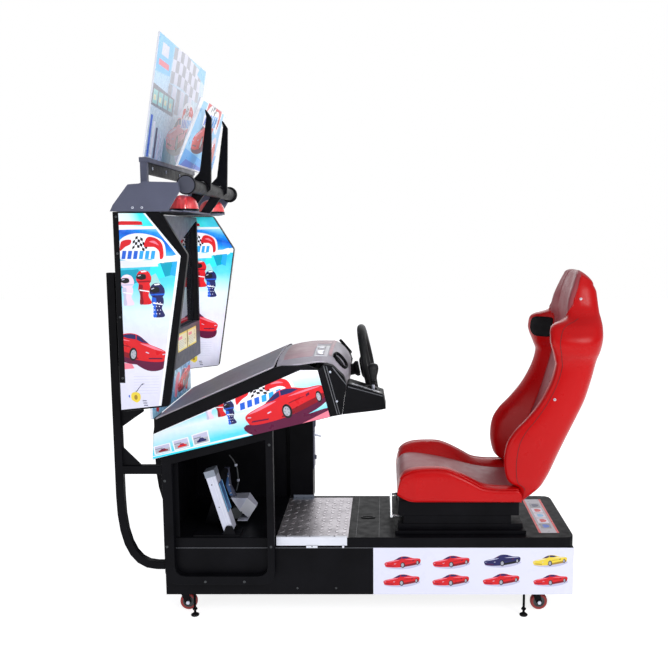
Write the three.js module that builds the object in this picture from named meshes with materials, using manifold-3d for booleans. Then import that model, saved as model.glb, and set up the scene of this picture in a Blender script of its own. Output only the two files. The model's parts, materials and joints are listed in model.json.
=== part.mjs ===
// Sit-down racing cabinet: a seat on a long low base, a pedal well, a dashboard with a
// steering wheel and gear lever, and a tall screen tower with side wings and a topper.
// Millimetres, +Z up. +X points from the screen to the back of the seat, -Y is the driver's
// left. The origin is on the floor, under the centre of the bounding box.
import * as THREE from "three";
import { mergeVertices } from "three/addons/utils/BufferGeometryUtils.js";
import Module from "manifold-3d";

const wasm = await Module();
wasm.setup();

// ---- Driving dimensions -------------------------------------------------------------------

const GAP = 0.3; // between pieces that touch
const LEFT_AND_RIGHT = [["left", -1], ["right", 1]];

const BASE = { front: -760, rear: 820, half: 244, bottom: 94, skirtTop: 284, deckTop: 325 };
const SHEET = 4;
const FRAME_TUBE = 40;

const CASTER = { frontX: -702, rearX: 686, y: 182, trail: 14, radius: 34, width: 24, axleZ: 40 };
const FOOT = { frontX: -655, rearX: 634, y: 226, padRadius: 16, padHeight: 10, stemRadius: 5 };

const PLATE = { front: -328, rear: -52, right: 209, thickness: 3, drop: 30 };

const SIDE_FRAME = { inner: 245, outer: 275, front: -753, rear: -332, bottom: 148 };
const UPRIGHT = { x: -914, top: 1345, width: 30, bendStart: 500, footZ: 225 };

const TOWER = { back: -841, trayFront: -776, half: 413, bottom: 941, top: 1556 };
const WING = { inner: 416, outer: 440 };
const WINDOW = { half: 395, bottom: 1095, top: 1538, notch: 1417 };

const TOPPER = { x: -598, z: 1655, half: 395, radius: 25, capRadius: 34, capLength: 10 };
const FIN = { y: 154, thickness: 14 };
const SHELF = { z: 1563, thickness: 6, half: 433, front: -640, lampFront: -592 };
const DOME = { x: -646, y: 238, radius: 54, height: 58 };
const HEADER = { half: 354, bottomX: -756, bottomZ: 1753, topX: -685, topZ: 2175, thickness: 6 };
const SIGN = { bottomX: -662, bottomZ: 1728, bottomHalf: 280, topX: -578, topZ: 1977, topHalf: 230 };

const DASH = { half: 300, wall: 12, back: -777, bottomZ: 650, slope: 0.2451, front: -112 };
const CROWN = 20;
const CHEEK = 34;
const HOOD_SEAM = -318;
const SPEAKER = { y: 185, radius: 32 };
// The square buttons on the hood: name, centre y, top z.
const BUTTONS = [["start_button", -175, 1042], ["view_button", -95, 1048]];

const WHEEL = { x: 24, z: 953, rimRadius: 157, rimTube: 18, hubRadius: 44, tilt: 0.193 };
const COLUMN = { radius: 22, length: 92, start: 16 };

const CONSOLE = { y0: -300, y1: -190, wall: 4 };
const LEVER = { x: 46, y: -245, pivotZ: 866, knobZ: 975, radius: 7 };

const COIN_BOX = { front: -328, rear: -226, y0: 212, y1: 300 };
const COIN_DOOR = { y0: 220, y1: 292, z0: 455, z1: 705, thickness: 4 };

const BRAKE = { x: -512, z: 352, y: -197, width: 56, length: 240, lean: 0.29 };
const THROTTLE = { x: -547, z: 541, y: -75, width: 70, setBack: 62 };

const SEAT_BASE = { front: 130, rear: 640, half: 212 };
const RAIL = { y: 170, width: 34 };
const CARRIAGE = { front: 142, rear: 614, half: 190, bottom: 393, top: 452 };

// ---- Materials ----------------------------------------------------------------------------

function finish(color, roughness, metalness = 0) {
  return new THREE.MeshStandardMaterial({ color, roughness, metalness });
}

const BLACK = finish(0x141416, 0.55, 0.3);
const DARK_GREY = finish(0x45464f, 0.5, 0.2);
const MOULDED_GREY = finish(0x9c96a0, 0.55);
const PRINT_WHITE = finish(0xd7d8ea, 0.3);
const PRINT_BLUE = finish(0x9cc9e6, 0.3);
const ALUMINIUM = finish(0xb9bcc4, 0.35, 0.9);
const SILVER = finish(0xc6cade, 0.4, 0.6);
const RED_VINYL = finish(0xd41a1f, 0.3);
const RED_LENS = finish(0xe04a58, 0.25);
const GLASS = finish(0x0b0d10, 0.1);
const RUBBER = finish(0x1b1b1c, 0.8);

// ---- Shape helpers ------------------------------------------------------------------------

function toSolid(geometry) {
  const bare = geometry.clone();
  bare.deleteAttribute("normal");
  bare.deleteAttribute("uv");
  const merged = mergeVertices(bare, 1e-3);
  return new wasm.Manifold(new wasm.Mesh({
    numProp: 3,
    vertProperties: Float32Array.from(merged.attributes.position.array),
    triVerts: Uint32Array.from(merged.index.array),
  }));
}

function toGeometry(solid) {
  const mesh = solid.getMesh();
  const geometry = new THREE.BufferGeometry();
  geometry.setAttribute("position", new THREE.BufferAttribute(mesh.vertProperties, 3));
  geometry.setIndex(new THREE.BufferAttribute(mesh.triVerts, 1));
  return geometry;
}

function join(...geometries) {
  return toGeometry(geometries.map(toSolid).reduce((whole, next) => whole.add(next)));
}

function cut(geometry, ...tools) {
  return toGeometry(tools.map(toSolid).reduce((rest, tool) => rest.subtract(tool), toSolid(geometry)));
}

// A closed path through [x, z, cornerRadius] points, with each radius as a short curve.
function outline(points) {
  const shape = new THREE.Shape();
  points.forEach(([x, z, radius = 0], index) => {
    const here = new THREE.Vector2(x, z);
    const before = new THREE.Vector2(...points.at(index - 1).slice(0, 2));
    const after = new THREE.Vector2(...points[(index + 1) % points.length].slice(0, 2));
    const arriving = here.clone().sub(before).normalize();
    const leaving = after.clone().sub(here).normalize();
    const reach = radius * Math.tan(Math.acos(THREE.MathUtils.clamp(arriving.dot(leaving), -1, 1)) / 2);
    const start = here.clone().addScaledVector(arriving, -reach);
    const end = here.clone().addScaledVector(leaving, reach);
    if (index === 0) {
      shape.moveTo(start.x, start.y);
    } else {
      shape.lineTo(start.x, start.y);
    }
    if (radius > 0) {
      shape.quadraticCurveTo(x, z, end.x, end.y);
    }
  });
  shape.closePath();
  return shape;
}

function extrude(shape, depth, curveSegments = 3) {
  return new THREE.ExtrudeGeometry(shape, { depth, bevelEnabled: false, curveSegments });
}

// An outline in X and Z, thick along Y.
function sidePlate(points, y0, y1, holes = []) {
  const shape = outline(points);
  shape.holes = holes.map(outline);
  return extrude(shape, y1 - y0).rotateX(Math.PI / 2).translate(0, y1, 0);
}

// An outline in X and Y, thick along Z.
function floorPlate(points, z0, z1) {
  return extrude(outline(points), z1 - z0).translate(0, 0, z0);
}

// An outline in Y and Z, thick along X.
function facePlate(points, x0, x1, holes = []) {
  const shape = outline(points);
  shape.holes = holes.map(outline);
  const turn = new THREE.Matrix4().set(0, 0, 1, x0, 1, 0, 0, 0, 0, 1, 0, 0, 0, 0, 0, 1);
  return extrude(shape, x1 - x0).applyMatrix4(turn);
}

function block(x0, x1, y0, y1, z0, z1) {
  return new THREE.BoxGeometry(x1 - x0, y1 - y0, z1 - z0)
    .translate((x0 + x1) / 2, (y0 + y1) / 2, (z0 + z1) / 2);
}

function rod(from, to, radius, sides = 20) {
  const start = new THREE.Vector3(...from);
  const along = new THREE.Vector3(...to).sub(start);
  const turn = new THREE.Quaternion()
    .setFromUnitVectors(new THREE.Vector3(0, 1, 0), along.clone().normalize());
  const middle = start.addScaledVector(along, 0.5);
  return new THREE.CylinderGeometry(radius, radius, along.length(), sides)
    .applyQuaternion(turn).translate(middle.x, middle.y, middle.z);
}

// A bar of constant width along a path in X and Z, thick along Y.
function bentBar(path, width, y0, y1) {
  const centre = path.getPoints(7);
  const sides = [1, -1].map((side) => centre.map((point, index) => {
    const ahead = centre[Math.min(index + 1, centre.length - 1)];
    const behind = centre[Math.max(index - 1, 0)];
    const along = ahead.clone().sub(behind).normalize();
    return [point.x - side * along.y * width / 2, point.y + side * along.x * width / 2];
  }));
  return sidePlate([...sides[0], ...sides[1].reverse()].reverse(), y0, y1);
}

// A closed body between two sheets of points, each given by a function of row and column.
function sheetSolid(rows, columns, outer, inner) {
  const positions = [];
  const indices = [];
  const stride = columns + 1;
  const layer = (rows + 1) * stride;
  for (const sheet of [outer, inner]) {
    for (let row = 0; row <= rows; row += 1) {
      for (let column = 0; column <= columns; column += 1) {
        positions.push(...sheet(row, column));
      }
    }
  }
  const quad = (a, b, c, d) => indices.push(a, b, c, a, c, d);
  for (let row = 0; row < rows; row += 1) {
    for (let column = 0; column < columns; column += 1) {
      const corner = row * stride + column;
      quad(corner, corner + 1, corner + stride + 1, corner + stride);
      quad(layer + corner, layer + corner + stride, layer + corner + stride + 1, layer + corner + 1);
    }
  }
  for (let row = 0; row < rows; row += 1) {
    const first = row * stride;
    const last = first + columns;
    quad(first, first + stride, layer + first + stride, layer + first);
    quad(last, layer + last, layer + last + stride, last + stride);
  }
  for (let column = 0; column < columns; column += 1) {
    const bottom = column;
    const top = rows * stride + column;
    quad(bottom, layer + bottom, layer + bottom + 1, bottom + 1);
    quad(top, top + 1, layer + top + 1, layer + top);
  }
  const geometry = new THREE.BufferGeometry();
  geometry.setAttribute("position", new THREE.Float32BufferAttribute(positions, 3));
  geometry.setIndex(facingOut(positions, indices));
  return geometry;
}

// The triangles of a closed body, turned over if they enclose a negative volume.
function facingOut(positions, indices) {
  const point = (index) => new THREE.Vector3().fromArray(positions, 3 * index);
  let volume = 0;
  for (let i = 0; i < indices.length; i += 3) {
    const [a, b, c] = indices.slice(i, i + 3).map(point);
    volume += a.dot(b.cross(c));
  }
  return volume < 0 ? indices.reverse() : indices;
}

// Linear interpolation down a table whose first column is the key.
function lookUp(table, key, column) {
  const next = table.findIndex((row) => row[0] >= key);
  if (next <= 0) {
    return table[next === 0 ? 0 : table.length - 1][column];
  }
  const [low, high] = [table[next - 1], table[next]];
  const share = (key - low[0]) / (high[0] - low[0]);
  return low[column] + (high[column] - low[column]) * share;
}

const cabinet = new THREE.Group();

function add(name, geometry, material, parent = cabinet) {
  const mesh = new THREE.Mesh(geometry, material);
  mesh.name = name;
  parent.add(mesh);
  return mesh;
}

// ---- Base ---------------------------------------------------------------------------------

function baseFrame() {
  const { front, rear, half, bottom } = BASE;
  const inset = SHEET + GAP;
  const z0 = bottom + GAP;
  const z1 = z0 + FRAME_TUBE;
  const long = (side) => {
    const outer = side * (half - inset);
    const inner = side * (half - inset - FRAME_TUBE);
    return block(front + inset, rear - inset, Math.min(outer, inner), Math.max(outer, inner), z0, z1);
  };
  const cross = [front + inset, -330, 60, 420, rear - inset - FRAME_TUBE].map((x) =>
    block(x, x + FRAME_TUBE, -half + inset + 1, half - inset - 1, z0, z1));
  return join(long(-1), long(1), ...cross);
}

function addBase() {
  const { front, rear, half, bottom, skirtTop, deckTop } = BASE;
  add("base_frame", baseFrame(), BLACK);
  const ring = (inset) => [
    [front + inset, -half + inset], [rear - inset, -half + inset],
    [rear - inset, half - inset], [front + inset, half - inset],
  ];
  add("base_skirt", cut(
    floorPlate(ring(0), bottom, skirtTop),
    floorPlate(ring(SHEET), bottom - 1, skirtTop + 1),
  ), BLACK);

  const lip = 2;
  const corner = 40;
  const pan = floorPlate([
    [front - lip, -half - lip], [rear + lip, -half - lip, corner],
    [rear + lip, half + lip, corner], [front - lip, half + lip],
  ], skirtTop + GAP, deckTop);
  const hollow = floorPlate([
    [front + SHEET, -half + SHEET], [rear - SHEET, -half + SHEET, corner],
    [rear - SHEET, half - SHEET, corner], [front + SHEET, half - SHEET],
  ], skirtTop - 1, deckTop - SHEET);
  add("deck", cut(pan, hollow), BLACK);

  const plateTop = deckTop + GAP + PLATE.thickness;
  const edge = half + lip + GAP;
  const flange = (y0, y1) => block(PLATE.front, PLATE.rear, y0, y1, deckTop - PLATE.drop, plateTop);
  add("footwell_plate", join(
    block(PLATE.front, PLATE.rear, -edge - 1, PLATE.right, deckTop + GAP, plateTop),
    flange(-edge - PLATE.thickness, -edge),
  ), ALUMINIUM);
}

// ---- Casters and feet ---------------------------------------------------------------------

function addRunningGear() {
  const { trail, radius, width, axleZ } = CASTER;
  const plateTop = BASE.bottom;
  for (const [end, x] of [["front", CASTER.frontX], ["rear", CASTER.rearX]]) {
    for (const [side, sign] of LEFT_AND_RIGHT) {
      const corner = new THREE.Group();
      corner.position.set(x, sign * CASTER.y, 0);
      cabinet.add(corner);
      const half = width / 2 + 2;
      const cheek = (y0, y1) => sidePlate([
        [-16, 82], [-10, 86], [14, 86], [trail + 12, axleZ - 2, 8], [trail, axleZ - 12, 8],
        [trail - 12, axleZ - 2, 8],
      ], y0, y1);
      const fork = join(
        rod([0, 0, 80], [0, 0, plateTop - GAP], 20, 16),
        block(-16, 14, -half - 3, half + 3, 79, 86),
        cheek(-half - 3, -half), cheek(half, half + 3),
        rod([trail, -half - 4, axleZ], [trail, half + 4, axleZ], 5, 8),
      );
      add(`caster_fork_${end}_${side}`, fork, BLACK, corner);
      const profile = [
        [5.3, -width / 2], [radius - 3, -width / 2], [radius, -width / 2 + 4],
        [radius, width / 2 - 4], [radius - 3, width / 2], [5.3, width / 2], [5.3, -width / 2],
      ].map(([r, h]) => new THREE.Vector2(r, h));
      const wheel = add(`caster_wheel_${end}_${side}`, new THREE.LatheGeometry(profile, 18),
        RED_VINYL, corner);
      wheel.position.set(trail, 0, axleZ);
    }
  }
  for (const [end, x] of [["front", FOOT.frontX], ["rear", FOOT.rearX]]) {
    for (const [side, sign] of LEFT_AND_RIGHT) {
      const foot = add(`levelling_foot_${end}_${side}`, join(
        rod([0, 0, 0], [0, 0, FOOT.padHeight], FOOT.padRadius, 16),
        rod([0, 0, FOOT.padHeight - 1], [0, 0, BASE.bottom], FOOT.stemRadius, 8),
        rod([0, 0, FOOT.padHeight + 14], [0, 0, FOOT.padHeight + 20], 10, 6),
      ), RUBBER);
      foot.position.set(x, sign * FOOT.y, 0);
    }
  }
}

// ---- Pedestal, side frames and coin box ---------------------------------------------------

// Height of the underside of the dashboard.
function dashUnderside(x) {
  return DASH.bottomZ + DASH.slope * (x - DASH.back);
}

function addPedestal() {
  const half = BASE.half - SHEET;
  const z0 = BASE.deckTop + GAP;
  const front = -745;
  const below = 1;
  const wall = (rear, y0, y1) => sidePlate([
    [front, z0], [rear, z0], [rear, dashUnderside(rear) - below],
    [front, dashUnderside(front) - below],
  ], y0, y1);
  add("pedestal_shell", join(
    block(front, front + SHEET, -half, half, z0, dashUnderside(front) - below),
    wall(-700, -half, -half + SHEET),
    wall(-345, half - SHEET, half),
  ), BLACK);

  for (const [side, sign] of LEFT_AND_RIGHT) {
    const [y0, y1] = [sign * (SIDE_FRAME.inner + 2), sign * SIDE_FRAME.outer].sort((a, b) => a - b);
    const { front: x0, rear: x1, bottom } = SIDE_FRAME;
    const loop = sidePlate([
      [x0, bottom, 50], [x1, bottom, 50], [x1, dashUnderside(x1) - below],
      [x0, dashUnderside(x0) - below],
    ], y0, y1, [[
      [x0 + 38, bottom + 33, 40], [x1 - 27, bottom + 33, 40],
      [x1 - 27, dashUnderside(x1) - 40], [x0 + 38, dashUnderside(x0) - 30],
    ]]);
    add(`side_frame_${side}`, loop, BLACK);
    add(`upright_${side}`, upright(y0, y1), BLACK);
  }

  const { front: boxFront, rear, y0, y1 } = COIN_BOX;
  const box = sidePlate([
    [boxFront, z0], [rear, z0], [rear, dashUnderside(rear) - below],
    [boxFront, dashUnderside(boxFront) - below],
  ], y0, y1);
  const cavity = block(boxFront + SHEET, rear + 1, y0 + SHEET, y1 - SHEET,
    COIN_DOOR.z0 + 6, COIN_DOOR.z1 - 6);
  add("coin_box", cut(box, cavity), BLACK);
  const doorX = rear + GAP;
  const door = join(
    block(doorX, doorX + COIN_DOOR.thickness, COIN_DOOR.y0, COIN_DOOR.y1, COIN_DOOR.z0, COIN_DOOR.z1),
    block(doorX + 2, doorX + 9, 236, 276, 640, 672),
    rod([doorX + 2, 256, 500], [doorX + 12, 256, 500], 10),
  );
  add("coin_door", cut(door,
    block(doorX - 5, doorX + 20, 254.5, 257.5, 644, 668),
    block(doorX - 5, doorX + 20, 242, 270, 588, 616)), DARK_GREY);
  add("coin_return", join(
    block(doorX + 1, doorX + 6, 243, 269, 589, 615),
    sidePlate([[doorX + 5, 598], [doorX + 34, 592, 1.5], [doorX + 34, 597, 1.5], [doorX + 5, 606]], 250, 262),
  ), SILVER);
}

// One rear upright with its lower bend, brace, gusset and brackets to the tower.
function upright(y0, y1) {
  const { x, top, width, bendStart, footZ } = UPRIGHT;
  const end = SIDE_FRAME.front - GAP;
  const tube = new THREE.Path();
  tube.moveTo(x, top);
  tube.lineTo(x, bendStart);
  tube.quadraticCurveTo(x, footZ, end - width, footZ);
  tube.lineTo(end, footZ);
  const face = x + width / 2 - 1;
  const brace = block(face, end, y0, y1, 586, 618);
  const gusset = sidePlate([[face, 616], [face + 74, 616], [face, 692]], y0 + 12, y1 - 12);
  const arm = sidePlate([[face, 765], [face + 46, 798, 30], [TOWER.back + 28, 826],
    [TOWER.back + 20, 862], [face, 866]], y0 + 12, y1 - 12);
  const bracket = (z) => block(face, TOWER.back - GAP, y0 + 5, y1 - 5, z, z + 40);
  return join(bentBar(tube, width, y0, y1), brace, gusset, arm, bracket(1290), bracket(1000));
}

// ---- Screen tower -------------------------------------------------------------------------

function addTower() {
  const { back, trayFront, half, bottom, top } = TOWER;
  const wall = 6;
  const tray = block(back, trayFront, -half, half, bottom - 6, top);
  const inside = block(back + wall, trayFront + 1, -half + wall, half - wall, bottom, top - wall);
  add("monitor_housing", cut(tray, inside), BLACK);
  const cover = (inset, right) => sidePlate([
    [-925 + inset, 1015 + inset], [right, 1015 + inset], [right, 1340 - inset],
    [-902 + inset, 1340 - inset], [-925 + inset, 1315],
  ], -228 + inset, 228 - inset);
  add("rear_cover", cut(
    cover(0, back - GAP),
    cover(4, back + 1),
    ...[1100, 1140, 1180, 1220, 1260].map((z) => block(-930, -915, -120, 120, z, z + 8)),
  ), BLACK);

  const profile = [
    [back, 870], [-826, 866, 10], [-670, 884, 14], [-588, 1416, 20], [-678, 1562, 20], [back, 1562],
  ];
  for (const [side, sign] of LEFT_AND_RIGHT) {
    const [y0, y1] = [sign * WING.inner, sign * WING.outer].sort((a, b) => a - b);
    add(`wing_${side}`, sidePlate(profile, y0, y1), BLACK);
  }

  const bezel = facePlate([[-half, bottom], [half, bottom], [half, top], [-half, top]],
    trayFront + GAP, trayFront + 24, [[
      [-WINDOW.half, WINDOW.bottom], [WINDOW.half, WINDOW.bottom], [WINDOW.half, WINDOW.top],
      [0, WINDOW.notch], [-WINDOW.half, WINDOW.top],
    ]]);
  add("screen_bezel", bezel, DARK_GREY);
  add("screen_glass", block(trayFront - 6, trayFront - 1, -half + wall + 1, half - wall - 1,
    WINDOW.bottom - 20, WINDOW.top + 8), GLASS);
  add("lcd_monitor", block(back + wall + 1, trayFront - 10, -368, 368, 1085, 1515), BLACK);
  add("neck_panel", block(-781, -772, -295, 295, 802, bottom - 7), PRINT_BLUE);
}

// ---- Canopy and topper --------------------------------------------------------------------

function fin(y0, y1) {
  const blade = sidePlate([
    [-676, 1570], [-634, 1570], [-588, 1632], [-562, 1650], [-553, 1912, 8], [-579, 1952, 4],
    [-572, 1916, 4], [-602, 1714, 20], [-626, 1690, 6], [-634, 1630],
  ], y0, y1);
  const bore = rod([TOPPER.x, y0 - 5, TOPPER.z], [TOPPER.x, y1 + 5, TOPPER.z], TOPPER.radius + 1, 16);
  return cut(blade, bore);
}

function dome(y) {
  const steps = 5;
  const arc = Array.from({ length: steps + 1 }, (_, index) => {
    const angle = index / steps * Math.PI / 2;
    return new THREE.Vector2(DOME.radius * Math.cos(angle), DOME.height * Math.sin(angle));
  });
  return new THREE.LatheGeometry([new THREE.Vector2(0, 0), ...arc], 16)
    .rotateX(Math.PI / 2).translate(DOME.x, y, SHELF.z + SHELF.thickness + GAP);
}

// A flat board that leans along X, wider at one end than the other.
function leaningBoard(bottomX, bottomZ, bottomHalf, topX, topZ, topHalf, thickness) {
  const board = facePlate([
    [-bottomHalf, 0], [bottomHalf, 0], [topHalf, topZ - bottomZ], [-topHalf, topZ - bottomZ],
  ], 0, thickness);
  const shear = new THREE.Matrix4().set(
    1, 0, (topX - bottomX) / (topZ - bottomZ), bottomX, 0, 1, 0, 0, 0, 0, 1, bottomZ, 0, 0, 0, 1);
  return board.applyMatrix4(shear);
}

function addTopper() {
  const plate = [
    [-849, 1563], [-652, 1563], [-608, 1633], [-614, 1661], [-731, 1664], [-746, 1657],
    [-785, 1654, 8], [-839, 1584, 8],
  ];
  const lampNear = DOME.y - DOME.radius;
  const lampFar = DOME.y + DOME.radius;
  const shelf = floorPlate([
    [-846, -SHELF.half], [SHELF.front, -SHELF.half], [SHELF.front, -lampFar],
    [SHELF.lampFront, -lampFar, 50], [SHELF.lampFront, -lampNear, 50], [SHELF.front, -lampNear],
    [SHELF.front, lampNear], [SHELF.lampFront, lampNear, 50], [SHELF.lampFront, lampFar, 50],
    [SHELF.front, lampFar], [SHELF.front, SHELF.half], [-846, SHELF.half],
  ], SHELF.z + 1, SHELF.z + SHELF.thickness);
  add("canopy", join(
    sidePlate(plate, -WING.outer, -SHELF.half + 1),
    sidePlate(plate, SHELF.half - 1, WING.outer),
    shelf,
  ), DARK_GREY);

  const { x, z, half, radius, capRadius, capLength } = TOPPER;
  add("topper_tube", join(
    rod([x, -half, z], [x, half, z], radius, 16),
    rod([x, -half, z], [x, -half + capLength, z], capRadius, 20),
    rod([x, half - capLength, z], [x, half, z], capRadius, 20),
  ), BLACK);
  const fins = [-FIN.y, FIN.y].map((y) => fin(y - FIN.thickness / 2, y + FIN.thickness / 2));
  for (const [index, [side, sign]] of LEFT_AND_RIGHT.entries()) {
    add(`topper_fin_${side}`, fins[index], BLACK);
    add(`dome_lamp_${side}`, dome(sign * DOME.y), RED_LENS);
  }
  add("topper_sign", leaningBoard(SIGN.bottomX, SIGN.bottomZ, SIGN.bottomHalf,
    SIGN.topX, SIGN.topZ, SIGN.topHalf, 6), PRINT_BLUE);

  const { bottomX, bottomZ, topX, topZ, thickness } = HEADER;
  add("header_board", leaningBoard(bottomX, bottomZ, HEADER.half, topX, topZ, HEADER.half, thickness),
    PRINT_BLUE);
  const post = (y) => block(-768, -744, y - 11, y + 11, SHELF.z + SHELF.thickness + GAP, 1742);
  add("header_holder", join(
    post(-338), post(338),
    block(-764, -744, -340, 340, 1698, 1737),
    block(-770, -740, -352, 352, 1736, bottomZ - GAP),
  ), DARK_GREY);
}

// ---- Dashboard ----------------------------------------------------------------------------

// Top edge of the dashboard's sides: [x, z].
const SIDE_TOP = [[-763, 800], [-323, 995], [-291, 1005], [-191, 1005], [-155, 991]];
// The hood's centre line, from the seam over the crest and down its front: [step, x, z].
const HOOD_CENTRE = [
  [0, HOOD_SEAM, 1019], [1, -253, 1035], [2, -180, 1043], [3, -120, 1042], [4, -88, 1028],
  [5, -64, 1002], [6, -50, 973], [7, -46, 930], [8, -56, 880], [9, -76, 838],
];

function addDash() {
  const { half, wall, back, front } = DASH;
  const outer = sidePlate([
    [back, dashUnderside(back)], [front, dashUnderside(front)], [-155, 991], [-191, 1005, 10],
    [-291, 1005], [-323, 995], [-763, 800], [-771, 750],
  ], -half, half);
  const inner = sidePlate([
    [back + wall, dashUnderside(back) + wall], [front - wall, dashUnderside(front) + wall],
    [-168, 991], [-168, 1100], [-700, 1100], [-751, 805], [-759, 750],
  ], -half + wall, half - wall);
  const cheek = (y0, y1) => sidePlate([
    [-130, 811], [-110, 814], [-69, 822], [-53, 933], [-61, 964, 20], [-103, 1004, 10],
    [-132, 1012, 8], [-160, 985],
  ], y0, y1);
  add("dash_body", join(cut(outer, inner), cheek(-half, -half + CHEEK), cheek(half - CHEEK, half)), BLACK);

  const rows = 7;
  const columns = 8;
  const coverHalf = half - 4;
  const bulge = (column) => 1 - Math.abs(2 * column / columns - 1) ** 2.6;
  const coverPoint = (lift) => (row, column) => {
    const x = -762 + (HOOD_SEAM - 1 + 762) * row / rows;
    const grow = Math.min(1, 3 * row / rows);
    const y = -coverHalf + 2 * coverHalf * column / columns;
    return [x, y, lookUp(SIDE_TOP, x, 1) + 1.5 + CROWN * bulge(column) * grow + lift];
  };
  add("dash_cover", sheetSolid(rows, columns, coverPoint(6), coverPoint(0)), MOULDED_GREY);

  addHood();
}

// The hood's surface, sunk by some depth along its own normal. It fills the shell, then narrows
// to pass between the cheeks.
function hoodPoint(step, across, depth) {
  const half = DASH.half - (step < 2 ? DASH.wall + 4 : CHEEK + 4);
  const last = HOOD_CENTRE.length - 1;
  const at = (s) => {
    const key = THREE.MathUtils.clamp(s, 0, last);
    return new THREE.Vector2(lookUp(HOOD_CENTRE, key, 1), lookUp(HOOD_CENTRE, key, 2));
  };
  const along = at(step + 0.5).sub(at(step - 0.5)).normalize();
  const sink = depth + 26 * Math.abs(across) ** 2.8;
  const point = at(step);
  return [point.x + along.y * sink, across * half, point.y - along.x * sink];
}

function addHood() {
  const rows = 12;
  const columns = 10;
  const layer = (depth) => (row, column) =>
    hoodPoint(row / rows * (HOOD_CENTRE.length - 1), 2 * column / columns - 1, depth);
  const shell = sheetSolid(rows, columns, layer(0), layer(6));
  const axis = wheelAxis();
  const bore = rod(alongWheelAxis(axis, -140), alongWheelAxis(axis, -30), COLUMN.radius + 8, 16);
  const speakerHole = (y) => rod([-125, y, 976], [-20, y, 1049], SPEAKER.radius, 16);
  const buttonHole = ([, y]) => block(-170, -144, y - 13, y + 13, 1010, 1070);
  add("dash_hood", cut(shell, bore, speakerHole(-SPEAKER.y), speakerHole(SPEAKER.y), ...BUTTONS.map(buttonHole)),
    MOULDED_GREY);
  const speaker = (y) => rod([-125, y, 976], [-96, y, 996], SPEAKER.radius - 1, 16);
  add("speaker_board", join(
    speaker(-SPEAKER.y), speaker(SPEAKER.y), block(-126, -114, -SPEAKER.y - 38, SPEAKER.y + 38, 952, 990),
  ), RUBBER);
  for (const [name, y, top] of BUTTONS) {
    add(name, floorPlate([
      [-169, y - 12, 3], [-145, y - 12, 3], [-145, y + 12, 3], [-169, y + 12, 3],
    ], top - 26, top), PRINT_WHITE);
  }
}

// ---- Steering and gear lever --------------------------------------------------------------

function wheelAxis() {
  return new THREE.Vector3(Math.cos(WHEEL.tilt), 0, Math.sin(WHEEL.tilt));
}

function alongWheelAxis(axis, distance) {
  return [WHEEL.x + axis.x * distance, 0, WHEEL.z + axis.z * distance];
}

function addSteering() {
  const axis = wheelAxis();
  const { start, length, radius } = COLUMN;
  add("steering_column", join(
    rod(alongWheelAxis(axis, -start - 18 - length), alongWheelAxis(axis, -start - 18), radius, 16),
    rod(alongWheelAxis(axis, -start - 32), alongWheelAxis(axis, -start - 18), radius + 6, 16),
  ), BLACK);

  const wheel = new THREE.Group();
  wheel.position.set(WHEEL.x, 0, WHEEL.z);
  wheel.rotation.y = -WHEEL.tilt;
  cabinet.add(wheel);
  const rim = new THREE.TorusGeometry(WHEEL.rimRadius, WHEEL.rimTube, 8, 24).rotateY(Math.PI / 2);
  const hub = rod([-start - 17, 0, 0], [-4, 0, 0], WHEEL.hubRadius, 16);
  const spoke = (angle) => block(-16, -9, -17, 17, 30, WHEEL.rimRadius - 6)
    .applyMatrix4(new THREE.Matrix4().makeRotationX(angle));
  const spokes = [Math.PI, 0.5 * Math.PI, -0.5 * Math.PI].map(spoke);
  add("steering_wheel", join(rim, hub, ...spokes), RUBBER, wheel);
}

function addConsole() {
  const { y0, y1, wall } = CONSOLE;
  const shape = (inset) => [
    [-68 + inset, 822 + inset], [65 - inset, 838 + inset], [94 - inset, 844 + inset, 4],
    [84 - inset, 898 - inset, 6], [-44 + inset, 938 - inset, 4], [-52 + inset, 933 - inset],
  ];
  const slot = block(LEVER.x - 24, LEVER.x + 24, LEVER.y - 12, LEVER.y + 12, 880, 960);
  add("shifter_console", cut(
    sidePlate(shape(0), y0, y1),
    sidePlate(shape(wall), y0 + wall, y1 - wall),
    slot,
  ), BLACK);
  const { x, y, pivotZ, knobZ, radius } = LEVER;
  const knob = [
    [0, -34], [13, -34], [17, -18], [20, 4], [18, 20], [10, 28], [0, 29],
  ].map(([r, h]) => new THREE.Vector2(r, h));
  const handle = new THREE.LatheGeometry(knob, 14).rotateX(Math.PI / 2).translate(x, y, knobZ);
  add("gear_lever", join(
    rod([x, y, pivotZ], [x, y, knobZ - 20], radius, 10),
    rod([x, y - 22, pivotZ], [x, y + 22, pivotZ], 8, 10),
    handle,
  ), RUBBER);
}

// ---- Pedals -------------------------------------------------------------------------------

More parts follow.
